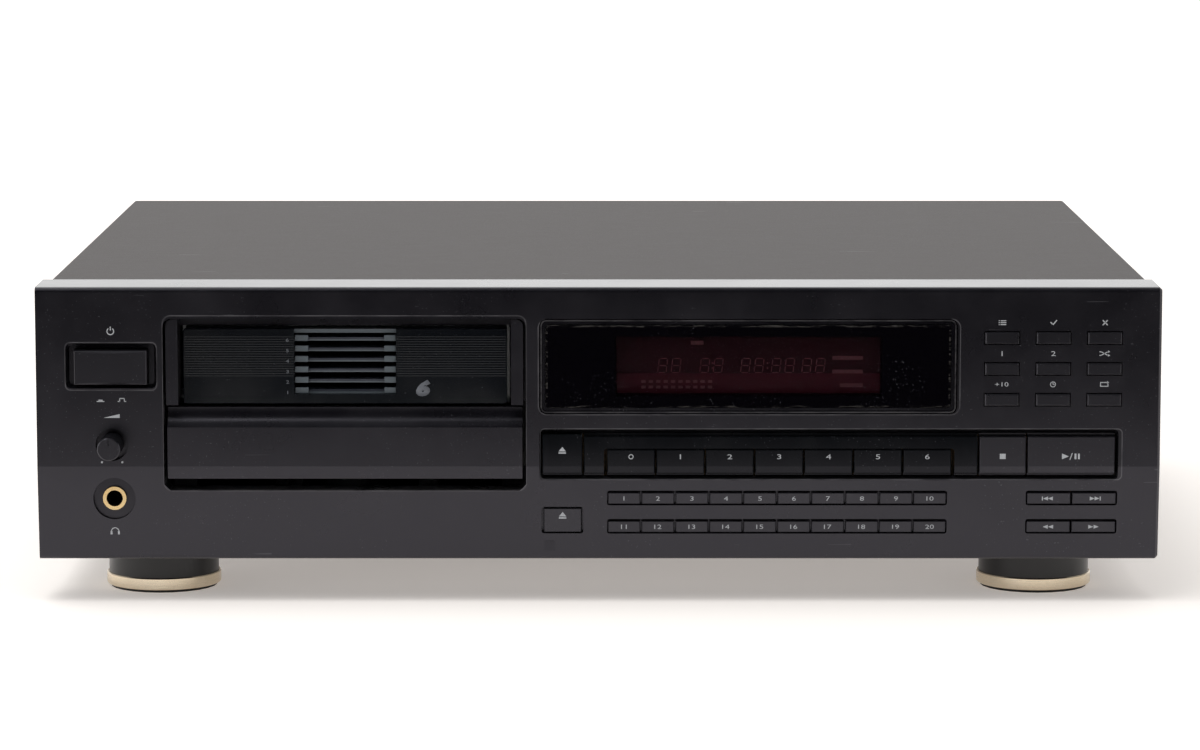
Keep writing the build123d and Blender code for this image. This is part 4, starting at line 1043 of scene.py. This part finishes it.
def endDots(bm):
    for x in (-4.0, 4.0):
        ring(bm, x, 0, 0.42, 0.05, steps=12)


def headphoneSign(bm):
    ring(bm, 0, -0.3, 1.65, 1.3, 0, 180, 14)
    for x in (-1.45, 1.45):
        bar(bm, x, -0.85, 0.75, 1.35)


powerX = capCentre("power_button")[0]
knobX, knobZ = capCentre("level_knob")
jackX, jackZ = capCentre("jack_bush")
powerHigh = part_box("power_button")[1][2]
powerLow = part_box("power_button")[0][2]
symbol("power_sign", powerSign, powerX, powerHigh + 6.2 * mm, "root")
symbol("power_state_signs", pushedSign, powerX, powerLow - 5.2 * mm, "root")
symbol("level_sign", levelSign, knobX, knobZ + 11.4 * mm, "root")
symbol("level_dots", endDots, knobX, knobZ - 6.9 * mm, "root")
symbol("headphone_sign", headphoneSign, jackX, jackZ - 12.9 * mm, "root")
print("panel symbols done")


# Magazine marks

magazineMarks = {
    "border": 2.4 * mm,             # from the top of the magazine to the window
    "windowX": 43.5 * mm,
    "windowWidth": 40.0 * mm,
    "numberX": 2.6 * mm,            # slot numbers left of the window
    "digit": 1.25,
    "bigX": 10.6 * mm,              # large six right of the window
    "bigZ": 6.2 * mm,
    "bigHeight": 6.6,
    "bigWide": 1.3,
    "bigSlant": 0.2,
    "bigBold": 0.07,
}
magazineLow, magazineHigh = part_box("magazine_front")


def magazinePrint():
    size = magazineMarks
    slots = magazineLook["slots"]
    pitch = magazineLook["slotPitch"]
    firstSlot = magazineHigh[2] - size["border"] - pitch / 2
    windowX0 = magazineLow[0] + size["windowX"]
    windowX1 = windowX0 + size["windowWidth"]
    marks = bmesh.new()
    inset = magazineLow[1] - face["front"]
    for index in range(slots):
        number = lettering(str(slots - index), size["digit"], 1.4)
        thicken(number)
        stand(number, windowX0 - size["numberX"], firstSlot - index * pitch, inset, 0.0)
        merge(marks, number)
    addPiece("magazine_slot_numbers", marks, dimInk, "magazine")
    big = lettering(str(slots), size["bigHeight"], size["bigWide"], slant=size["bigSlant"],
                    bold=size["bigBold"])
    thicken(big)
    stand(big, windowX1 + size["bigX"], magazineLow[2] + size["bigZ"], inset, 0.0)
    addPiece("magazine_six", big, dimInk, "magazine")


magazinePrint()


# Display segments behind the pane

# Places are in millimetres from the middle of the clear part of the pane.
segments = {
    "thickness": 0.28,
    "digit": (3.3, 5.6),           # width and height of a seven-segment digit
    "slant": 0.12,
    "digits": (-33.5, -28.2, -17.0, -11.7, -1.0, 4.3, 11.0, 16.3, 23.0, 28.3),
    "digitY": -0.4,
    "colons": (-14.0, 7.6),
    "calendar": (-41, 2.9, -8.9, 2.2),      # first x, pitch, first y, pitch
    "bars": ((39.0, 2.6, 12.0), (39.0, -2.8, 12.0), (40.5, -8.2, 9.0), (-20.0, 8.6, 5.0)),
    "barHeight": 1.5,
}


def sevenSegments(bm, x, y):
    width, height = segments["digit"]
    line = segments["thickness"]
    slant = segments["slant"]
    for level in (-1, 0, 1):
        bar(bm, x + slant * level * height / 2, y + level * height / 2, width - 0.9, line)
    for side in (-1, 1):
        for level in (-1, 1):
            middle = level * height / 4
            bar(bm, x + side * width / 2 + slant * middle, y + middle, line, height / 2 - 0.7,
                skew=slant)


def displaySegments():
    low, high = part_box("display_tube")
    front = low[1] - ink3d["proud"]
    middleX = (displayLook["x"][0] + displayLook["x"][1]) / 2
    middleZ = (displayLook["z"][0] + displayLook["z"][1]) / 2
    bm = bmesh.new()
    for x in segments["digits"]:
        sevenSegments(bm, x, segments["digitY"])
    for x in segments["colons"]:
        bar(bm, x, 0.6, 0.5, 0.5)
        bar(bm, x, -1.4, 0.5, 0.5)
    startX, pitchX, startY, pitchY = segments["calendar"]
    for index in range(20):
        column, row = index % 10, index // 10
        bar(bm, startX + column * pitchX, startY + row * pitchY, 1.7, 1.1)
    for x, y, width in segments["bars"]:
        bar(bm, x, y, width, segments["barHeight"])
    thicken(bm)
    place = Matrix.Translation((middleX, front, middleZ))
    upright = Matrix.Rotation(math.radians(90), 4, "X")
    bmesh.ops.transform(bm, verts=bm.verts, matrix=place @ upright @ Matrix.Scale(mm, 4))
    addPiece("display_segments", bm, faintSegment(), "root")


displaySegments()
print("display and magazine marks done")


# Foot rings: turned, with broken edges

footRing = {
    "inset": 22.9 * mm,             # from the side of the merged node to a ring's axis
    "outer": 22.9 * mm,
    "inner": 17.0 * mm,
    "edge": 0.35 * mm,
    "steps": 72,
}


def footRings():
    low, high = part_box("foot_rings")
    size = footRing
    edge = size["edge"]
    bm = bmesh.new()
    for x in (low[0] + size["inset"], high[0] - size["inset"]):
        for y in (low[1] + size["inset"], high[1] - size["inset"]):
            outline = [(size["inner"], low[2]), (size["outer"] - edge, low[2]),
                       (size["outer"], low[2] + edge), (size["outer"], high[2] - edge),
                       (size["outer"] - edge, high[2]), (size["inner"], high[2])]
            verts = [bm.verts.new((x + radius, y, z)) for radius, z in outline]
            edges = [bm.edges.new((verts[i], verts[(i + 1) % len(verts)]))
                     for i in range(len(verts))]
            bmesh.ops.spin(bm, geom=verts + edges, cent=(x, y, 0), axis=(0, 0, 1),
                           angle=2 * math.pi, steps=size["steps"], use_merge=True)
    piece = addPiece("turned_rings", bm, finishes["ring_gold"], "root", smooth=30)
    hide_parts("foot_rings")


footRings()


print("foot rings done")


# Camera, floor and light

shot = {
    "place": (0.00053, -1.96893, 0.32889),
    "tilt": 82.426,
    "lens": 138.70,
}
studio = {
    "floorColour": (0.90, 0.87, 0.84),
    "floorLift": 0.28,              # extra white that the camera sees on the floor
    "farLift": 0.30,                # and more of it far behind the object
    "world": 0.62,
    "liftColour": (1.0, 0.93, 0.88),
    "floorSize": 6.0,
    "farFrom": 0.3,                 # the far lift grows from here to there
    "farTo": 2.6,
    "darkStart": -0.42,             # the room is dark in front of here
    "darkEnd": -0.62,
    "darkWidth": 8.0,
    "darkDepth": 3.6,
    "darkNear": -0.3,
    "darkRise": 0.003,              # above the floor
    "darkWall": 2.1,
    "darkCeiling": 4.1,
}


def addCamera():
    camera = bpy.data.objects.new("camera", bpy.data.cameras.new("camera"))
    bpy.context.scene.collection.objects.link(camera)
    camera.location = shot["place"]
    camera.rotation_euler = (math.radians(shot["tilt"]), 0, 0)
    camera.data.lens = shot["lens"]
    camera.data.sensor_width = 36
    camera.data.sensor_fit = "HORIZONTAL"
    camera.data.clip_end = 50
    bpy.context.scene.camera = camera


def seenRays(sheet):
    # above 0 for the rays that carry a picture: camera, glossy and transmission rays
    path = sheet.tree.nodes.new("ShaderNodeLightPath")
    kinds = ("Is Camera Ray", "Is Glossy Ray", "Is Transmission Ray")
    camera, glossy, transmission = [Value(sheet, path.outputs[kind]) for kind in kinds]
    return camera + glossy + transmission


def addFloor():
    sheet = newSheet("floor")
    seen = seenRays(sheet)
    diffuse = sheet.node("BsdfDiffuse", {}, {"Color": (*studio["floorColour"], 1.0)})
    far = sheet.axes()[1].ramp(studio["farFrom"], studio["farTo"], 0.0, studio["farLift"])
    lift = sheet.node("Emission", {}, {"Color": (*studio["liftColour"], 1.0),
                                       "Strength": seen * (far + studio["floorLift"])})
    both = sheet.node("AddShader", {}, {0: diffuse, 1: lift})
    sheet.node("OutputMaterial", {}, {"Surface": both})
    bm = bmesh.new()
    bmesh.ops.create_grid(bm, x_segments=1, y_segments=1, size=studio["floorSize"])
    mesh = bpy.data.meshes.new("floor")
    bm.to_mesh(mesh)
    bm.free()
    mesh.materials.append(sheet.owner)
    floor = bpy.data.objects.new("floor", mesh)
    bpy.context.scene.collection.objects.link(floor)


def addDarkRoom():
    # what black gloss reflects from in front of the object: the unlit side of the studio
    sheet = newSheet("dark_room")
    x, y, z = sheet.axes()
    dark = y.ramp(studio["darkEnd"], studio["darkStart"], 1.0, 0.0).larger(z > 1.0)
    clear = sheet.node("BsdfTransparent")
    black = sheet.node("BsdfDiffuse", {}, {"Color": (0, 0, 0, 1)})
    mixed = sheet.node("MixShader", {}, {0: dark, 1: clear, 2: black})
    sheet.node("OutputMaterial", {}, {"Surface": mixed})
    bm = bmesh.new()
    bmesh.ops.create_grid(bm, x_segments=1, y_segments=1, size=0.5)
    depth = studio["darkDepth"]
    bmesh.ops.scale(bm, verts=bm.verts, vec=(studio["darkWidth"], depth, 1.0))
    middle = studio["darkNear"] - depth / 2
    bmesh.ops.translate(bm, verts=bm.verts, vec=(0, middle, studio["darkRise"]))
    farEdge = [edge for edge in bm.edges if all(v.co.y < middle for v in edge.verts)]
    wall = bmesh.ops.extrude_edge_only(bm, edges=farEdge)
    top = [item for item in wall["geom"] if isinstance(item, bmesh.types.BMVert)]
    bmesh.ops.translate(bm, verts=top, vec=(0, 0, studio["darkWall"]))
    highEdge = [edge for edge in bm.edges if all(v.co.z > 1.0 for v in edge.verts)]
    ceiling = bmesh.ops.extrude_edge_only(bm, edges=highEdge)
    ahead = [item for item in ceiling["geom"] if isinstance(item, bmesh.types.BMVert)]
    bmesh.ops.translate(bm, verts=ahead, vec=(0, studio["darkCeiling"], 0))
    mesh = bpy.data.meshes.new("dark_room")
    bm.to_mesh(mesh)
    bm.free()
    mesh.materials.append(sheet.owner)
    room = bpy.data.objects.new("dark_room", mesh)
    bpy.context.scene.collection.objects.link(room)
    room.visible_camera = False
    room.visible_diffuse = False
    room.visible_shadow = False


def addLamp(name, power, place, aim, size, mirrored):
    lamp = bpy.data.lights.new(name, "AREA")
    lamp.energy = power
    lamp.shape = "RECTANGLE"
    lamp.size, lamp.size_y = size
    holder = bpy.data.objects.new(name, lamp)
    holder.location = place
    direction = Vector(aim) - Vector(place)
    holder.rotation_euler = direction.to_track_quat("-Z", "Y").to_euler()
    holder.visible_camera = False
    holder.visible_glossy = mirrored
    bpy.context.scene.collection.objects.link(holder)


# Lamps: power, place, aim, width and height, and whether the glossy faces mirror it.
lamps = {
    "overhead": (26.0, (-0.5, -0.4, 2.2), (0, 0, 0), (2.0, 1.6), True),
    "left": (9.0, (-2.2, -0.9, 0.8), (0, -0.1, 0.02), (1.2, 1.0), True),
    "behind": (10.0, (0, 2.6, 1.6), (0, 0.8, 0.0), (3.2, 1.4), False),
}


def addWorld():
    world = bpy.data.worlds.new("studio")
    bpy.context.scene.world = world
    sheet = Sheet(world)
    seen = seenRays(sheet)
    strength = seen.smaller(1.0) * (1.0 - studio["world"]) + studio["world"]
    back = sheet.node("Background", {}, {"Color": (1, 1, 1, 1), "Strength": strength})
    sheet.node("OutputWorld", {}, {"Surface": back})


addCamera()
addFloor()
addDarkRoom()
for name, settings in lamps.items():
    addLamp(name, *settings)
addWorld()
bpy.context.scene.view_settings.view_transform = "Standard"
print("stage done")
